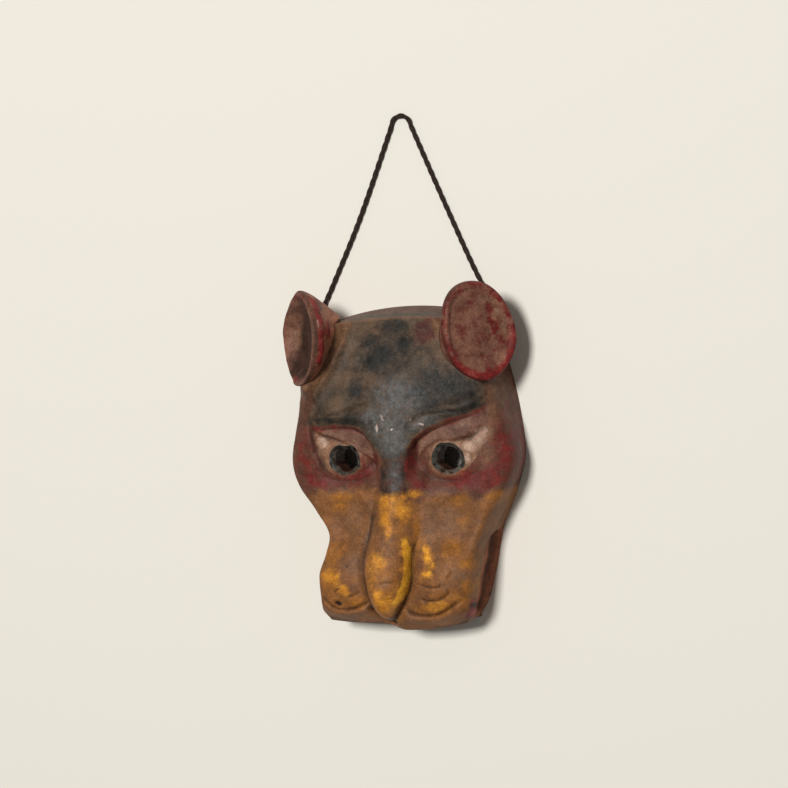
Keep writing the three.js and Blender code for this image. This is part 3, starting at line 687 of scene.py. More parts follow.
NOSE_STREAK = [(5.4, -50), (6.9, -56), (7.6, -63), (7.2, -72), (5.1, -80), (1.5, -87), (-1.5, -91)]
LOBE_STREAK = [(16.7, -54), (19.4, -61), (22.5, -66.5), (21.2, -70.5), (17.6, -74)]
OCHRE_PATCHES = [
    (39, -28, 5, 3), (61, -25, 5, 3), (65, -27, 4, 5), (41, -39, 4, 5), (31, -58, 4, 6), (43, -65, 4, 5),
    (36, -57, 4, 5), (47, -78, 5, 8), (20, -94, 11, 4), (28, -89, 9, 5), (39, -88, 6, 6), (12, -50, 2.5, 9),
    (-42, -62, 4, 4), (-41, -58, 5, 4), (-38, -25, 6, 3), (-41, -31, 5, 4), (-42, -90, 7, 4),
    (-27, -90, 7, 4), (-35, -92, 8, 3), (-46, -78, 5, 9), (-8, -76, 10, 13), (0, -37, 8, 8),
    (-6, -92, 7, 9),
]
DULL_PATCHES = [
    (-29, -38, 5, 9), (-30, -64, 6, 6), (-28, -79, 4, 3), (27, -34, 8, 6), (21, -40, 5, 7), (32, -40, 7, 5),
    (24, -49, 5, 7), (51, -54, 3, 4), (31, -78, 4, 3), (44, -72, 4, 3), (-5, -77, 4, 4),
    (-16, -40, 3, 10, 5), (59, 11, 3, 10), (57, 0, 3, 6), (62, 33, 3, 10),
]
PALE_PATCHES = [(49, 6, 4.5, 3.5, 40), (54, 10.5, 5, 3.4, 50), (-48, 9, 3.5, 3, -30), (46, -2, 2, 3)]
RIGHT_CHEEK = [(69.5, 16), (68.5, 8), (68, -3), (65, -12), (55, -16.5), (44, -15.5), (32, -19)]
LEFT_CHEEK = [(-64, 12), (-60, -3), (-57, -14), (-40, -14.5), (-27, -14.5), (-19.5, -6), (-15.5, 3)]
LEFT_BAND = [(-30, 86), (-34, 74), (-40, 62), (-47, 50), (-56, 41)]
RIGHT_BAND = [(26, 83), (30, 75.5), (38, 64), (46.5, 53), (54, 47)]
LOW_CHIPS = [(45.8, -88.5), (44.9, -94), (43.2, -97.5), (40, -101)]
PALE_CHIPS = [
    (-6, 24.5, 0.5, 2, 20), (20, 19.8, 1.8, 0.5, -15), (-9.5, 18.2, 0.7, 2.4), (12.6, 22.8, 0.5, 0.5),
    (0, 17, 0.8, 0.5, 30),
]
EAR_GLINTS = [(-3.6, 0.5, 0.6, 0.1), (-4, -0.42, 0.6, 0.05)]
NOSE_CORNER = [(11, 1), (9, -7), (10.8, -13.8), (15.6, -18.2), (18, -20.5)]
BEND_ROUNDS = 14
outside_share, ear_share, cut_share, recess_share = vertex_parts(mask.data)
place, edges = places_and_edges(mask.data)
x, y, z = place.T
across = np.abs(x)
ragged = 1.8 * lumps(x, y, 9, 21) + 0.9 * lumps(x, y, 4, 22)
brow, lid, lower_lid = [eye_line(lines, x) for lines in (BROW_LINE, LID_LINE, LOWER_LID_LINE)]
face = (outside_share + recess_share > 0.5) * 1.0
eye_opening = ease(lower_lid - 1.5, lower_lid + 1.5, y) * ease(lid + 0.3, lid - 0.6, y)
lid_zone = ease(lid - 0.4, lid + 0.5, y) * ease(brow + 0.5, brow - 1.5, y)
lid_zone = lid_zone * ease(13, 17, across) * ease(62, 50, across)
outer_groove = np.exp(-((slanted(LOWER_LID_LINE, x, y) + 0.6) / 1.6) ** 2)
outer_groove = outer_groove * ease(42, 48, -x) * ease(60, 56, -x) * ease(lid + 5, lid, y)
panel_edge = curve_through([(20, 58), (31, 53), (39, 52), (52, 43), (68, 34), (86, 29)], y)
forehead = ease(brow - 0.3, brow + 0.9, y + 0.4 * ragged) * ease(-panel_edge - 4, -panel_edge + 4, x + ragged)
forehead = forehead * ease(63, 54, x + ragged) * ease(89, 86, y)
bridge = ease(10.5, 7, across + ragged) * ease(-27, -22, y + 0.6 * ragged) * ease(20, 8, y)
border = y - 3 * ease(-10, -25, x) + 4 * lumps(x, y, 13, 23) + 1.3 * ragged
around_eye = ease(-31, -16, border) * ease(brow + 1.2, brow - 0.6, y) * ease(7, 11, across)
rear = ease(50, 62, across + ragged) * ease(16, 34, y + ragged)
# Painted shade: a dark brown band along each flank of the nose, where it meets the face.
flank = np.exp(-((np.abs(nose_share(x, y)) - 1.06) * curve_through(NOSE_HALF_WIDTH, y) / 2.4) ** 2)
lid_line = np.exp(-((y - lower_lid - 0.4) / 1.1) ** 2) * ease(17, 22, x) * ease(48, 42, x)
brow_edge = np.exp(-((y - brow + 1.8) / 2.2) ** 2) * ease(9, 14, across) * ease(60, 54, across)
side, up, ear_depth = np.zeros((3, len(x)))
for sign in (1, -1):
    sideways, upward, facing = ear_axes(sign)
    from_ear = place - np.array([EAR_X[sign] * sign, EAR_Y, EAR_Z])
    here = x * sign > 0
    side = np.where(here, from_ear @ sideways / EAR_HALF_WIDTH, side)
    up = np.where(here, from_ear @ upward / EAR_HALF_HEIGHT, up)
    ear_depth = np.where(here, from_ear @ facing, ear_depth)
ear_radius = np.hypot(side, up)
on_ear = ease(0.2, 0.8, ear_share)
left_ear = on_ear * (x < 0)
near_left_ear = ease(-20, -30, x) * ease(36, 46, y) * ease(-1, -6, ear_depth)
in_dish = on_ear * ease(0.98, 0.8, ear_radius) * ease(-12, -9.5, ear_depth)
ear_rim = on_ear * ease(0.76, 0.88, ear_radius) * ease(-8, -3, ear_depth)
ear_back_painted_light = on_ear * ease(-1, -4, ear_depth) * (1 - in_dish)
from_eye = np.hypot(across - EYE_HOLE_X, y - EYE_HOLE_Y)
smooth_place = place.copy()
for _ in range(BEND_ROUNDS):
    smooth_place += 0.5 * (mean_of_neighbours(smooth_place, edges, len(place)) - smooth_place)
normal = np.empty(len(mask.data.vertices) * 3)
mask.data.vertex_normals.foreach_get("vector", normal)
normal = normal.reshape(-1, 3)
bend = np.sum((smooth_place - place) * normal, 1)
# Underside wall of the chin, painted dark as painted shade.
chin_underside_painted_shade = face * ease(-0.5, -0.8, normal[:, 1]) * ease(-92, -98, y) * ease(37, 33, z)
plain = ease(brow + 1.2, brow - 0.6, y) * ease(-45, -35, y)
plain = np.maximum(plain, ease(-5, -20, y) * ease(32, 38, across))
maroon = blob(x, y, 21, 77, 6.5, 10, -32)
black_share = 0.41 + 0.52 * blobs(x, y, BLACK_PATCHES) - 0.36 * blobs(x, y, BROWN_PATCHES) - 0.5 * maroon
black_share = black_share + 0.16 * blob(x, y, 4, 56, 22, 15)
cheek_red = np.maximum(0.6 * band(x, y, RIGHT_CHEEK, 9), 0.44 * band(x, y, LEFT_CHEEK, 9))
corner_red = np.maximum(0.72 * band(x, y, NOSE_CORNER, 3.6), (0.46 + 0.14 * ease(24, 40, across)) * brow_edge)
low_chips = 0.8 * band(x, y, LOW_CHIPS, 3) * ease(20, 26, z)
streak = np.maximum(band(x, y, NOSE_STREAK, 2.8), 0.5 * band(x, y, LOBE_STREAK, 3.4))
yellow = np.maximum(blobs(x, y, YELLOW_PATCHES), 0.6 * band(x, y, NOSE_STREAK, 5))
yellow = np.maximum(yellow, 0.62 * band(x, y, LOBE_STREAK, 5))
right_ear_red = 0.28 + ear_rim * (0.2 + 0.3 * ease(0.2, -0.8, up)) + 0.25 * blob(side, up, 0.45, 0, 0.14, 0.3)
ridge = ease(-1, -2.5, ear_depth) * ease(-9, -6, ear_depth) * ease(-0.2, -0.5, side) * ease(-0.6, -0.2, up)
back_spots = blobs(ear_depth, up, [(-12, 0.35, 2.5, 0.2), (-8, 0.45, 2, 0.15)])
back_red = np.maximum(0.5 * ridge, 0.4 * back_spots)
right_pale = 0.54 * blob(side, up, 0.5, 0.1, 0.25, 0.45)
right_pale = np.maximum(right_pale, blob(side, up, 0.68, -0.1, 0.06, 0.08))
# Outer side of the left ear's dish, painted lighter as painted light where it faces the light.
left_dish_painted_light = blob(side, up, 0.62, -0.1, 0.2, 0.45)
left_ear_red = 0.16 + 0.2 * ear_rim * ease(-0.6, 0.2, side) + 0.12 * ease(0.6, 0.9, up) + ear_back_painted_light * back_red
ochre_glow = 0.58 * ease(-16, -28, border) * blobs(x, y, OCHRE_PATCHES)
# Red streaks on the back of the left ear: red paint, painted brighter as painted light where the back faces
# away from the key light.
ear_back_red = left_ear * ear_back_painted_light * np.maximum(0.52 * ridge, 0.46 * back_spots)
grey_wash = np.maximum(0.62 * blobs(x, y, GREY_PATCHES), 0.44 * blob(x, y, 1, -12, 4, 9))
# Painted highlights: pale glints along the red ridge on the back of the left ear.
ear_glints = 0.7 * left_ear * ridge * blobs(ear_depth, up, EAR_GLINTS)
flank_reach = np.where(nose_share(x, y) < 0, ease(-20, -40, y), ease(-46, -58, y)) * ease(-106, -101, y)
beside_bridge = ease(-50, -30, y) * ease(20, 14, across) * ease(10, -10, y)
# Darker in hollows and creases, and along the groove at the left eye's outer end.
hollow_darkening = np.maximum(0.8 * face * outer_groove, ease(0.08, 0.6, bend))
layers = {
    "ochre": face * ease(-16, -31, border),
    "rich_ochre": face * np.maximum(ochre_glow, 0.5 * lid_line),
    "dull": face * blobs(x, y, DULL_PATCHES) * 0.5,
    "bright_red": np.maximum(ear_back_red, 0.4 * face * low_chips),
    # Painted light: the back of the left ear is painted a lighter tan where it faces away from the key light.
    "ear_back_painted_light": left_ear * ear_back_painted_light * 0.85,
    # Paler paint in the ear dishes: on the right ear a pale patch and a chip, on the left ear painted light
    # on the outer side of the dish.
    "ear_pale": np.where(x > 0, right_pale, 0.4 * left_dish_painted_light) * in_dish,
    "collar": face * np.maximum(0.62 * band(x, y, LEFT_BAND, 6), 0.75 * band(x, y, RIGHT_BAND, 5.5)),
    "red": face * around_eye * 0.56 * (1 - 0.6 * rear),
    "crimson": face * np.maximum(np.maximum(cheek_red * around_eye, corner_red), low_chips),
    "pink": face * lid_zone * 0.8,
    "cream": face * eye_opening * ease(16, 26, across) * ease(64, 50, across + ragged) * 0.8,
    "pale": face * blobs(x, y, PALE_PATCHES) * 0.84,
    "forehead": face * forehead,
    "black": face * np.maximum(forehead * black_share, 0.57 * bridge),
    "grey": face * np.maximum(forehead, bridge) * grey_wash,
    "yellow": face * yellow * ease(33, 37, z) * 0.82,
    "streak": face * streak,
    "maroon": face * maroon * 0.9,
    "ear": on_ear,
    "ear_red": on_ear * np.where(x > 0, right_ear_red, left_ear_red),
    # Painted shade: dark brown in the left ear's dish beside the ridge, where the dish wall faces away from
    # the light.
    "ear_shade": left_ear * in_dish * 1.8 * blob(side, up, 0, -0.15, 0.4, 0.68),
    "bare": ease(0.4, 0.9, cut_share) * (from_eye > 13),
    "ring": ease(0.2, 0.6, cut_share) * ease(13.4, 12.6, from_eye) * ease(35.5, 38, z),
    "recess": recess_share,
    # Dark paint: painted shade over the underside wall of the chin, and dark patches in the knot hole and in
    # the pit at the lower right.
    "dark": np.maximum(0.72 * chin_underside_painted_shade, face * blobs(x, y, DARK_PATCHES)),
    # Pale chips in the paint, and painted highlights along the left ear's ridge.
    "chips_and_glints": np.maximum(face * blobs(x, y, PALE_CHIPS), ear_glints),
    # Painted shade along the flanks of the nose.
    "flank": face * flank * flank_reach * 0.6,
    "cavity": hollow_darkening * (1 - 0.7 * near_left_ear) * (1 - 0.8 * beside_bridge),
    "worn_edge": ease(-0.1, -0.7, bend) * (1 - plain * face * (from_eye > 14)) * (1 - 0.6 * left_ear),
}
for name, amount in layers.items():
    attribute = mask.data.attributes.new(name, "FLOAT", "POINT")
    attribute.data.foreach_set("value", np.clip(amount, 0, 1).astype(np.float32))


def new_material(name):
    """New material, its node tree and its surface shader."""
    material = bpy.data.materials.new(name)
    material.use_nodes = True
    return material, material.node_tree, material.node_tree.nodes["Principled BSDF"]


def shader_node(tree, kind, inputs=None, **settings):
    """Adds a shader node, sets its options, and fills inputs by name or number with values or links."""
    node = tree.nodes.new("ShaderNode" + kind)
    for option, setting in settings.items():
        setattr(node, option, setting)
    for socket, value in (inputs or {}).items():
        if isinstance(value, bpy.types.NodeSocket):
            tree.links.new(value, node.inputs[socket])
        else:
            node.inputs[socket].default_value = value
    return node


def node_group(name, inputs, outputs):
    """Empty shader node group with the given sockets, and its input and output nodes."""
    group = bpy.data.node_groups.new(name, "ShaderNodeTree")
    for socket, kind in inputs.items():
        group.interface.new_socket(socket, in_out="INPUT", socket_type="NodeSocket" + kind)
    for socket, kind in outputs.items():
        group.interface.new_socket(socket, in_out="OUTPUT", socket_type="NodeSocket" + kind)
    return group, group.nodes.new("NodeGroupInput"), group.nodes.new("NodeGroupOutput")


def math(tree, operation, *values):
    """Result of a math node on numbers or links."""
    return shader_node(tree, "Math", dict(enumerate(values)), operation=operation).outputs[0]


def mix_colours(tree, share, under, over, blend="MIX"):
    """Colour of one paint over another by share."""
    node = shader_node(tree, "Mix", {0: share, 6: under, 7: over}, data_type="RGBA", blend_type=blend)
    return node.outputs[2]


def noise(tree, scale, detail, roughness, stretch=(1, 1, 1)):
    """Noise in the object's own space, from 0 to 1, that can be drawn out along an axis."""
    coordinates = shader_node(tree, "TexCoord").outputs["Object"]
    place = shader_node(tree, "Mapping", {"Vector": coordinates, "Scale": stretch}).outputs[0]
    inputs = {"Vector": place, "Scale": scale, "Detail": detail, "Roughness": roughness}
    return shader_node(tree, "TexNoise", inputs).outputs[0]


def rescale(tree, value, low, high, new_low, new_high):
    """Value stretched from one range to another and held within it."""
    return shader_node(tree, "MapRange", {0: value, 1: low, 2: high, 3: new_low, 4: new_high}).outputs[0]


def make_worn_paint():
    """Node group: a coat of paint over what lies below, ragged at its edges and rubbed through in
    patches where its cover is thin."""
    sockets = {
        "Under": "Color", "Paint": "Color", "Cover": "Float",
        "Scale": "Float", "Rag": "Float", "Soft": "Float",
    }
    group, given, result = node_group("worn paint", sockets, {"Color": "Color"})
    cover, soft = given.outputs["Cover"], given.outputs["Soft"]
    uneven = math(group, "SUBTRACT", noise(group, given.outputs["Scale"], 8, 0.7), 0.5)
    uneven = math(group, "MULTIPLY", uneven, given.outputs["Rag"])
    thin = math(group, "MULTIPLY", math(group, "MULTIPLY", cover, math(group, "SUBTRACT", 1, cover)), 4)
    level = math(group, "ADD", cover, math(group, "MULTIPLY", uneven, thin))
    remains = rescale(group, level, math(group, "SUBTRACT", 0.5, soft), math(group, "ADD", 0.5, soft), 0, 1)
    colour = mix_colours(group, remains, given.outputs["Under"], given.outputs["Paint"])
    group.links.new(colour, result.inputs["Color"])
    return group


def make_mottle():
    """Node group: a colour that drifts between two shades in soft patches of the given scale."""
    sockets = {"First": "Color", "Second": "Color", "Scale": "Float"}
    group, given, result = node_group("mottle", sockets, {"Color": "Color"})
    share = rescale(group, noise(group, given.outputs["Scale"], 5, 0.6), 0.36, 0.64, 0, 1)
    colour = mix_colours(group, share, given.outputs["First"], given.outputs["Second"])
    group.links.new(colour, result.inputs["Color"])
    return group


def make_grime():
    """Node group: years of handling over a colour: broad and fine uneven tone, dark specks of grime
    and pale flecks where paint has chipped."""
    group, given, result = node_group("grime", {"Color": "Color", "Strength": "Float"}, {"Color": "Color"})
    strength = given.outputs["Strength"]
    broad = rescale(group, noise(group, 140, 4, 0.6), 0.3, 0.7, 0.72, 1.28)
    fine = rescale(group, noise(group, 750, 6, 0.65), 0.3, 0.7, 0.62, 1.38)
    tone = math(group, "MULTIPLY", broad, fine)
    toned = mix_colours(group, strength, given.outputs["Color"], tone, "MULTIPLY")
    specks = rescale(group, noise(group, 620, 3, 0.5), 0.66, 0.72, 0, 0.6)
    dirty = mix_colours(group, math(group, "MULTIPLY", specks, strength), toned, (0.025, 0.017, 0.012, 1))
    flecks = rescale(group, noise(group, 880, 3, 0.5, (1.1, 0.8, 1)), 0.7, 0.76, 0, 0.55)
    flecked = mix_colours(group, math(group, "MULTIPLY", flecks, strength), dirty, (0.42, 0.3, 0.22, 1))
    group.links.new(flecked, result.inputs["Color"])
    return group


worn_paint, mottle, grime = make_worn_paint(), make_mottle(), make_grime()
painted_wood, tree, surface = new_material("worn painted wood")


def shade(first, second, scale):
    """Mottled colour between two shades."""
    values = {"First": (*first, 1), "Second": (*second, 1), "Scale": scale}
    return shader_node(tree, "Group", values, node_tree=mottle).outputs["Color"]


def layer_amount(name, share=1):
    """How much of a layer lies at a place, from its attribute."""
    amount = shader_node(tree, "Attribute", None, attribute_name=name).outputs["Fac"]
    return math(tree, "MULTIPLY", amount, share)


def coat(under, name, paint, scale, rag, soft):
    """Worn coat of one paint over the colour below, covering where its attribute says."""
    values = {
        "Under": under, "Paint": paint, "Cover": layer_amount(name), "Scale": scale, "Rag": rag, "Soft": soft,
    }
    return shader_node(tree, "Group", values, node_tree=worn_paint).outputs["Color"]


# Coats of paint from the wood up: layer, two shades and the scale they drift at, then the scale,
# raggedness and softness of the wear.
COATS = [
    ("ochre", (0.25, 0.103, 0.034), (0.17, 0.074, 0.031), 75, 160, 2, 0.25),
    ("rich_ochre", (0.39, 0.15, 0.02), (0.27, 0.105, 0.022), 110, 130, 2.4, 0.45),
    ("red", (0.15, 0.032, 0.023), (0.125, 0.052, 0.034), 130, 160, 2.8, 0.25),
    ("pink", (0.225, 0.12, 0.082), (0.112, 0.048, 0.031), 110, 160, 2.8, 0.4),
    ("cream", (0.31, 0.17, 0.104), (0.195, 0.096, 0.056), 150, 220, 2, 0.35),
    ("dull", (0.21, 0.112, 0.062), (0.165, 0.083, 0.046), 120, 150, 2, 0.45),
    ("pale", (0.56, 0.39, 0.3), (0.38, 0.23, 0.165), 220, 260, 2.4, 0.4),
    ("forehead", (0.13, 0.078, 0.047), (0.085, 0.06, 0.04), 80, 150, 2, 0.3),
    ("maroon", (0.095, 0.03, 0.022), (0.065, 0.023, 0.017), 90, 200, 2, 0.2),
    ("black", (0.009, 0.0098, 0.0092), (0.026, 0.023, 0.019), 160, 210, 2.5, 0.48),
    ("grey", (0.15, 0.154, 0.155), (0.078, 0.079, 0.078), 320, 420, 2.4, 0.45),
    ("collar", (0.24, 0.125, 0.06), (0.16, 0.078, 0.042), 120, 170, 2, 0.4),
    # Red-brown paint of the recess, painted lighter as painted light where the side wall faces away from the
    # key light.
    ("recess", (0.4, 0.15, 0.08), (0.25, 0.09, 0.047), 120, 200, 1, 0.25),
    ("crimson", (0.19, 0.017, 0.017), (0.115, 0.018, 0.015), 150, 170, 2.8, 0.36),
    ("yellow", (0.6, 0.255, 0.029), (0.43, 0.165, 0.018), 130, 140, 3.6, 0.5),
    ("streak", (0.9, 0.45, 0.04), (0.68, 0.3, 0.025), 170, 240, 1.8, 0.25),
    ("ear", (0.225, 0.1, 0.066), (0.13, 0.058, 0.04), 150, 150, 1, 0.3),
    # Painted light: a lighter tan on the back of the left ear, where it faces away from the key light.
    ("ear_back_painted_light", (0.5, 0.205, 0.13), (0.33, 0.137, 0.08), 130, 160, 1.5, 0.35),
    ("ear_pale", (0.27, 0.155, 0.09), (0.18, 0.095, 0.06), 200, 260, 2.6, 0.3),
    # Painted shade in the left ear's dish, beside the ridge.
    ("ear_shade", (0.055, 0.024, 0.016), (0.036, 0.016, 0.011), 90, 180, 1.5, 0.45),
    ("ear_red", (0.23, 0.016, 0.016), (0.13, 0.016, 0.014), 150, 150, 2.6, 0.2),
    ("bright_red", (0.48, 0.045, 0.05), (0.3, 0.035, 0.035), 170, 190, 2.8, 0.3),
    ("bare", (0.13, 0.072, 0.042), (0.075, 0.04, 0.026), 70, 100, 1, 0.2),
    ("ring", (0.1, 0.1, 0.09), (0.005, 0.005, 0.004), 330, 300, 1, 0.15),
    ("dark", (0.045, 0.018, 0.014), (0.02, 0.012, 0.01), 150, 250, 1.5, 0.4),
    # Pale chips, and painted highlights on the left ear's ridge.
    ("chips_and_glints", (0.62, 0.56, 0.5), (0.45, 0.3, 0.26), 300, 500, 2, 0.2),
]
# Layers that only tint what lies below: how far, and with what colour. The worn edge is rubbed paint, the
# flank is painted shade along the nose, and the cavity darkens hollows and creases.
WEAR_AND_PAINTED_SHADE = [
    ("worn_edge", 0.3, (0.3, 0.16, 0.1, 1)),
    ("flank", 0.8, (0.07, 0.036, 0.02, 1)),
    ("cavity", 0.65, (0.03, 0.015, 0.01, 1)),
]
GRIME_STRENGTH = 0.8
SHARP_ANGLE = 45
streaks = noise(tree, 420, 4, 0.6, (1, 0.06, 1))
colour = shade((0.15, 0.064, 0.039), (0.098, 0.042, 0.027), 60)
colour = mix_colours(tree, math(tree, "MULTIPLY", streaks, 0.35), colour, (0.06, 0.03, 0.02, 1))
for name, light, dark, mottle_scale, wear_scale, rag, soft in COATS:
    colour = coat(colour, name, shade(light, dark, mottle_scale), wear_scale, rag, soft)
for name, share, tint in WEAR_AND_PAINTED_SHADE:
    colour = mix_colours(tree, layer_amount(name, share), colour, tint)
aged = shader_node(tree, "Group", {"Color": colour, "Strength": GRIME_STRENGTH}, node_tree=grime)
tree.links.new(aged.outputs["Color"], surface.inputs["Base Color"])
crust = noise(tree, 700, 5, 0.6)
height = math(tree, "ADD", crust, math(tree, "MULTIPLY", streaks, 0.8))
height = math(tree, "ADD", height, math(tree, "MULTIPLY", noise(tree, 190, 3, 0.5), 2))
bump = shader_node(tree, "Bump", {"Height": height, "Strength": 0.3, "Distance": 0.0006})
tree.links.new(bump.outputs[0], surface.inputs["Normal"])
tree.links.new(rescale(tree, crust, 0.3, 0.7, 0.42, 0.62), surface.inputs["Roughness"])
surface.inputs["Specular IOR Level"].default_value = 0.15
mask.data.materials.clear()
mask.data.materials.append(painted_wood)
mask.data.polygons.foreach_set("material_index", np.zeros(len(mask.data.polygons), np.int32))
shade_smooth(mask.data)
mask.data.set_sharp_from_angle(angle=np.radians(SHARP_ANGLE))
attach(mask, "root")
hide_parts("carved_mask")


# Hanging cord.
# Dark brown cotton cord of two strands twisted together, run through both tie holes and laid in a
# triangle above the mask; each strand is a round tube wound about the cord's path.
STRAND_RADIUS, STRAND_OFFSET, TWIST_LENGTH = 1.15, 0.38, 12
STRAND_SIDES, CORD_SPACING = 9, 0.75
CORD_WALL, KNOT_CENTRE = 17.5, 20.9
CORD_DARK, CORD_LIGHT = (0.014, 0.008, 0.007, 1), (0.05, 0.03, 0.024, 1)
LEFT_LEG = [
    (-60, 88, 5), (-57.2, 96, 2.2), (-51.5, 107, 1.6), (-30.5, 149, 1.6), (-7.5, 202.5, 1.6),
    (-4.9, 209.1, 1.6),
]
RIGHT_LEG = [
    (59.6, 87, 5), (55, 95, 2.2), (46.8, 107, 1.6), (29, 149, 1.6), (7.5, 202.5, 1.6), (4.9, 209.1, 1.6),
]
APEX = (0, 211.5, 1.6)


def tie_point(sign, along):
    """Place on a tie hole's axis, so far out from its middle."""
    return np.array([sign * TIE_X, TIE_Y, TIE_Z]) + along * tie_axes(sign)[0]


def smooth_path(points, spacing):
    """Curve through points in space: a cubic against the length of the straight runs between them for
    each coordinate, then taken at even steps along its length."""
    corners = np.array(points, float)
    runs = np.concatenate([[0], np.cumsum(np.linalg.norm(np.diff(corners, axis=0), axis=1) ** 0.5)])
    fine = np.linspace(0, runs[-1], 6000)
    curve = np.stack([curve_through(np.stack([runs, values], 1), fine) for values in corners.T], 1)
    length = np.concatenate([[0], np.cumsum(np.linalg.norm(np.diff(curve, axis=0), axis=1))])
    even = np.linspace(0, length[-1], int(length[-1] / spacing) + 1)
    return np.stack([np.interp(even, length, values) for values in curve.T], 1), length[-1]


def path_axes(path):
    """Two directions square to a path at each of its points."""
    along = np.gradient(path, axis=0)
    along /= np.linalg.norm(along, axis=1)[:, None]
    first = np.cross(along, [0.13, 0.11, 1])
    first /= np.linalg.norm(first, axis=1)[:, None]
    return first, np.cross(along, first)


def tube_round(path, radius, sides):
    """Tube of constant radius along a path, as a grid of one ring per path point."""
    first, second = path_axes(path)
    angle = np.linspace(0, 2 * np.pi, sides + 1)[:-1]
    ring = np.cos(angle)[None, :, None] * first[:, None] + np.sin(angle)[None, :, None] * second[:, None]
    return path[:, None] + radius * ring


def twisted_strand(path, spacing, phase):
    """Centreline of one strand, winding about a path once in each twist length."""
    first, second = path_axes(path)
    turn = 2 * np.pi * np.arange(len(path)) * spacing / TWIST_LENGTH + phase
    return path + STRAND_OFFSET * (np.cos(turn)[:, None] * first + np.sin(turn)[:, None] * second)


cord_points = [tie_point(-1, along) for along in (-CORD_WALL, -7, 3)] + LEFT_LEG + [APEX]
cord_points += RIGHT_LEG[::-1] + [tie_point(1, along) for along in (3, -7, -CORD_WALL)]
cord_path, cord_length = smooth_path(cord_points, CORD_SPACING)
strands = [
    tube_round(twisted_strand(cord_path, CORD_SPACING, phase), STRAND_RADIUS, STRAND_SIDES)
    for phase in (0, np.pi)
]
cord_mesh = grid_mesh("hanging_cord_piece", True, *strands)
shade_smooth(cord_mesh)
cord = add_object("hanging_cord_piece", cord_mesh)
cord_material, tree, surface = new_material("dark cotton cord")
fibre = noise(tree, 900, 4, 0.7)
colour = mix_colours(tree, rescale(tree, fibre, 0.35, 0.7, 0, 1), CORD_DARK, CORD_LIGHT)
tree.links.new(colour, surface.inputs["Base Color"])
fuzz = shader_node(tree, "Bump", {"Height": fibre, "Strength": 0.4, "Distance": 0.0004})
tree.links.new(fuzz.outputs[0], surface.inputs["Normal"])
surface.inputs["Roughness"].default_value = 0.85
surface.inputs["Specular IOR Level"].default_value = 0.2
cord_mesh.materials.append(cord_material)
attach(cord, "root")
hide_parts("hanging_cord")


# Stop knots.
# A tight trefoil of the same cord at each end, inside the hollow behind its tie hole, wider than the
# hole so that the cord cannot pull through.
KNOT_SIZE, KNOT_CORD_RADIUS, KNOT_SIDES = 0.92, 1.25, 10


def trefoil(sign):
    """Closed three-lobed path round the tie hole's axis, at the knot's place."""
    turn = np.linspace(0, 2 * np.pi, 97)[:-1]
    away = KNOT_SIZE * (2 + np.cos(3 * turn))
    out, side = tie_axes(sign)
    rise = np.array([0, 0, 1])
    place = away * np.cos(2 * turn) * side[:, None] + away * np.sin(2 * turn) * rise[:, None]
    place = place + KNOT_SIZE * np.sin(3 * turn) * out[:, None]
    return place.T + tie_point(sign, -KNOT_CENTRE)


for sign, node in ((-1, "cord_knot_left"), (1, "cord_knot_right")):
    loop = trefoil(sign)
    tube = tube_round(np.concatenate([loop, loop[:1]]), KNOT_CORD_RADIUS, KNOT_SIDES)
    knot_mesh = grid_mesh(node + "_piece", True, tube)
    shade_smooth(knot_mesh)
    knot_mesh.materials.append(cord_material)
    knot = add_object(node + "_piece", knot_mesh)
    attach(knot, "root")
    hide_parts(node)


# Floor, light and camera.
# A plain pale floor under the mask, soft studio light from the upper left, and a camera that looks down
# at the turn and tilt of the photograph.
FLOOR_HALF, FLOOR_DROP = 3, 0.0003
FLOOR_COLOUR = (0.82, 0.798, 0.73, 1)
corners = [(FLOOR_HALF * a, FLOOR_HALF * b, -FLOOR_DROP) for a, b in ((-1, -1), (1, -1), (1, 1), (-1, 1))]
floor_mesh = bpy.data.meshes.new("floor")
floor_mesh.from_pydata(corners, [], [(0, 1, 2, 3)])
floor = add_object("floor", floor_mesh)
floor_paint, tree, surface = new_material("pale floor")
surface.inputs["Base Color"].default_value = FLOOR_COLOUR
surface.inputs["Roughness"].default_value = 0.85
floor_mesh.materials.append(floor_paint)

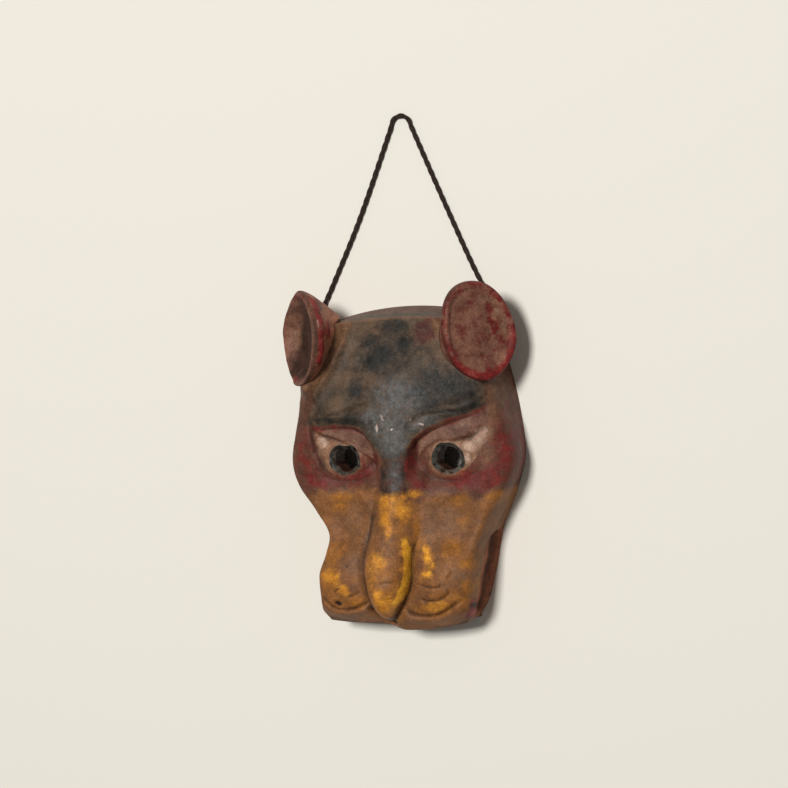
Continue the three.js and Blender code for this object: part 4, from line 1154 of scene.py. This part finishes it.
CAMERA_YAW, CAMERA_PITCH, CAMERA_ROLL = np.radians([20, 3, 2.8])
CAMERA_DISTANCE = 1.1
CAMERA_TARGET = np.array([-0.0029, 0.0378, 0.03]) - MIDDLE * MILLIMETRE
METRES_PER_PIXEL, FRAME_PIXELS = 0.00062, 788
level_sine, level_cosine = np.sin(CAMERA_YAW), np.cos(CAMERA_YAW)
tilt_sine, tilt_cosine = np.sin(CAMERA_PITCH), np.cos(CAMERA_PITCH)
toward = np.array([level_sine * tilt_cosine, tilt_sine, level_cosine * tilt_cosine])
level_right = np.array([level_cosine, 0, -level_sine])
level_up = np.cross(toward, level_right)
pose = np.eye(4)
pose[:3, 0] = np.cos(CAMERA_ROLL) * level_right - np.sin(CAMERA_ROLL) * level_up
pose[:3, 1] = np.sin(CAMERA_ROLL) * level_right + np.cos(CAMERA_ROLL) * level_up
pose[:3, 2] = toward
pose[:3, 3] = CAMERA_TARGET + toward * CAMERA_DISTANCE
lens = bpy.data.cameras.new("camera")
lens.sensor_width = 36
lens.lens = lens.sensor_width * CAMERA_DISTANCE / METRES_PER_PIXEL / FRAME_PIXELS
camera = add_object("camera", lens)
camera.matrix_world = pose.T.tolist()
bpy.context.scene.camera = camera

KEY_PLACE, KEY_SIZE, KEY_POWER, KEY_COLOUR = (-0.22, 0.95, 3.6), 0.65, 122, (1, 0.98, 0.95)
WORLD_COLOUR, WORLD_STRENGTH = (1, 0.96, 0.9, 1), 0.17
key_light = bpy.data.lights.new("key", "AREA")
key_light.energy = KEY_POWER
key_light.size = KEY_SIZE
key_light.color = KEY_COLOUR
key = add_object("key", key_light)
away = np.array(KEY_PLACE) / np.linalg.norm(KEY_PLACE)
sideways = np.cross([0, 1, 0], away)
sideways /= np.linalg.norm(sideways)
key_pose = np.eye(4)
key_pose[:3, :3] = np.stack([sideways, np.cross(away, sideways), away], 1)
key_pose[:3, 3] = KEY_PLACE
key.matrix_world = key_pose.T.tolist()
world = bpy.data.worlds.new("studio")
bpy.context.scene.world = world
world.use_nodes = True
background = world.node_tree.nodes["Background"]
background.inputs["Color"].default_value = WORLD_COLOUR
background.inputs["Strength"].default_value = WORLD_STRENGTH
bpy.context.scene.view_settings.view_transform = "Standard"
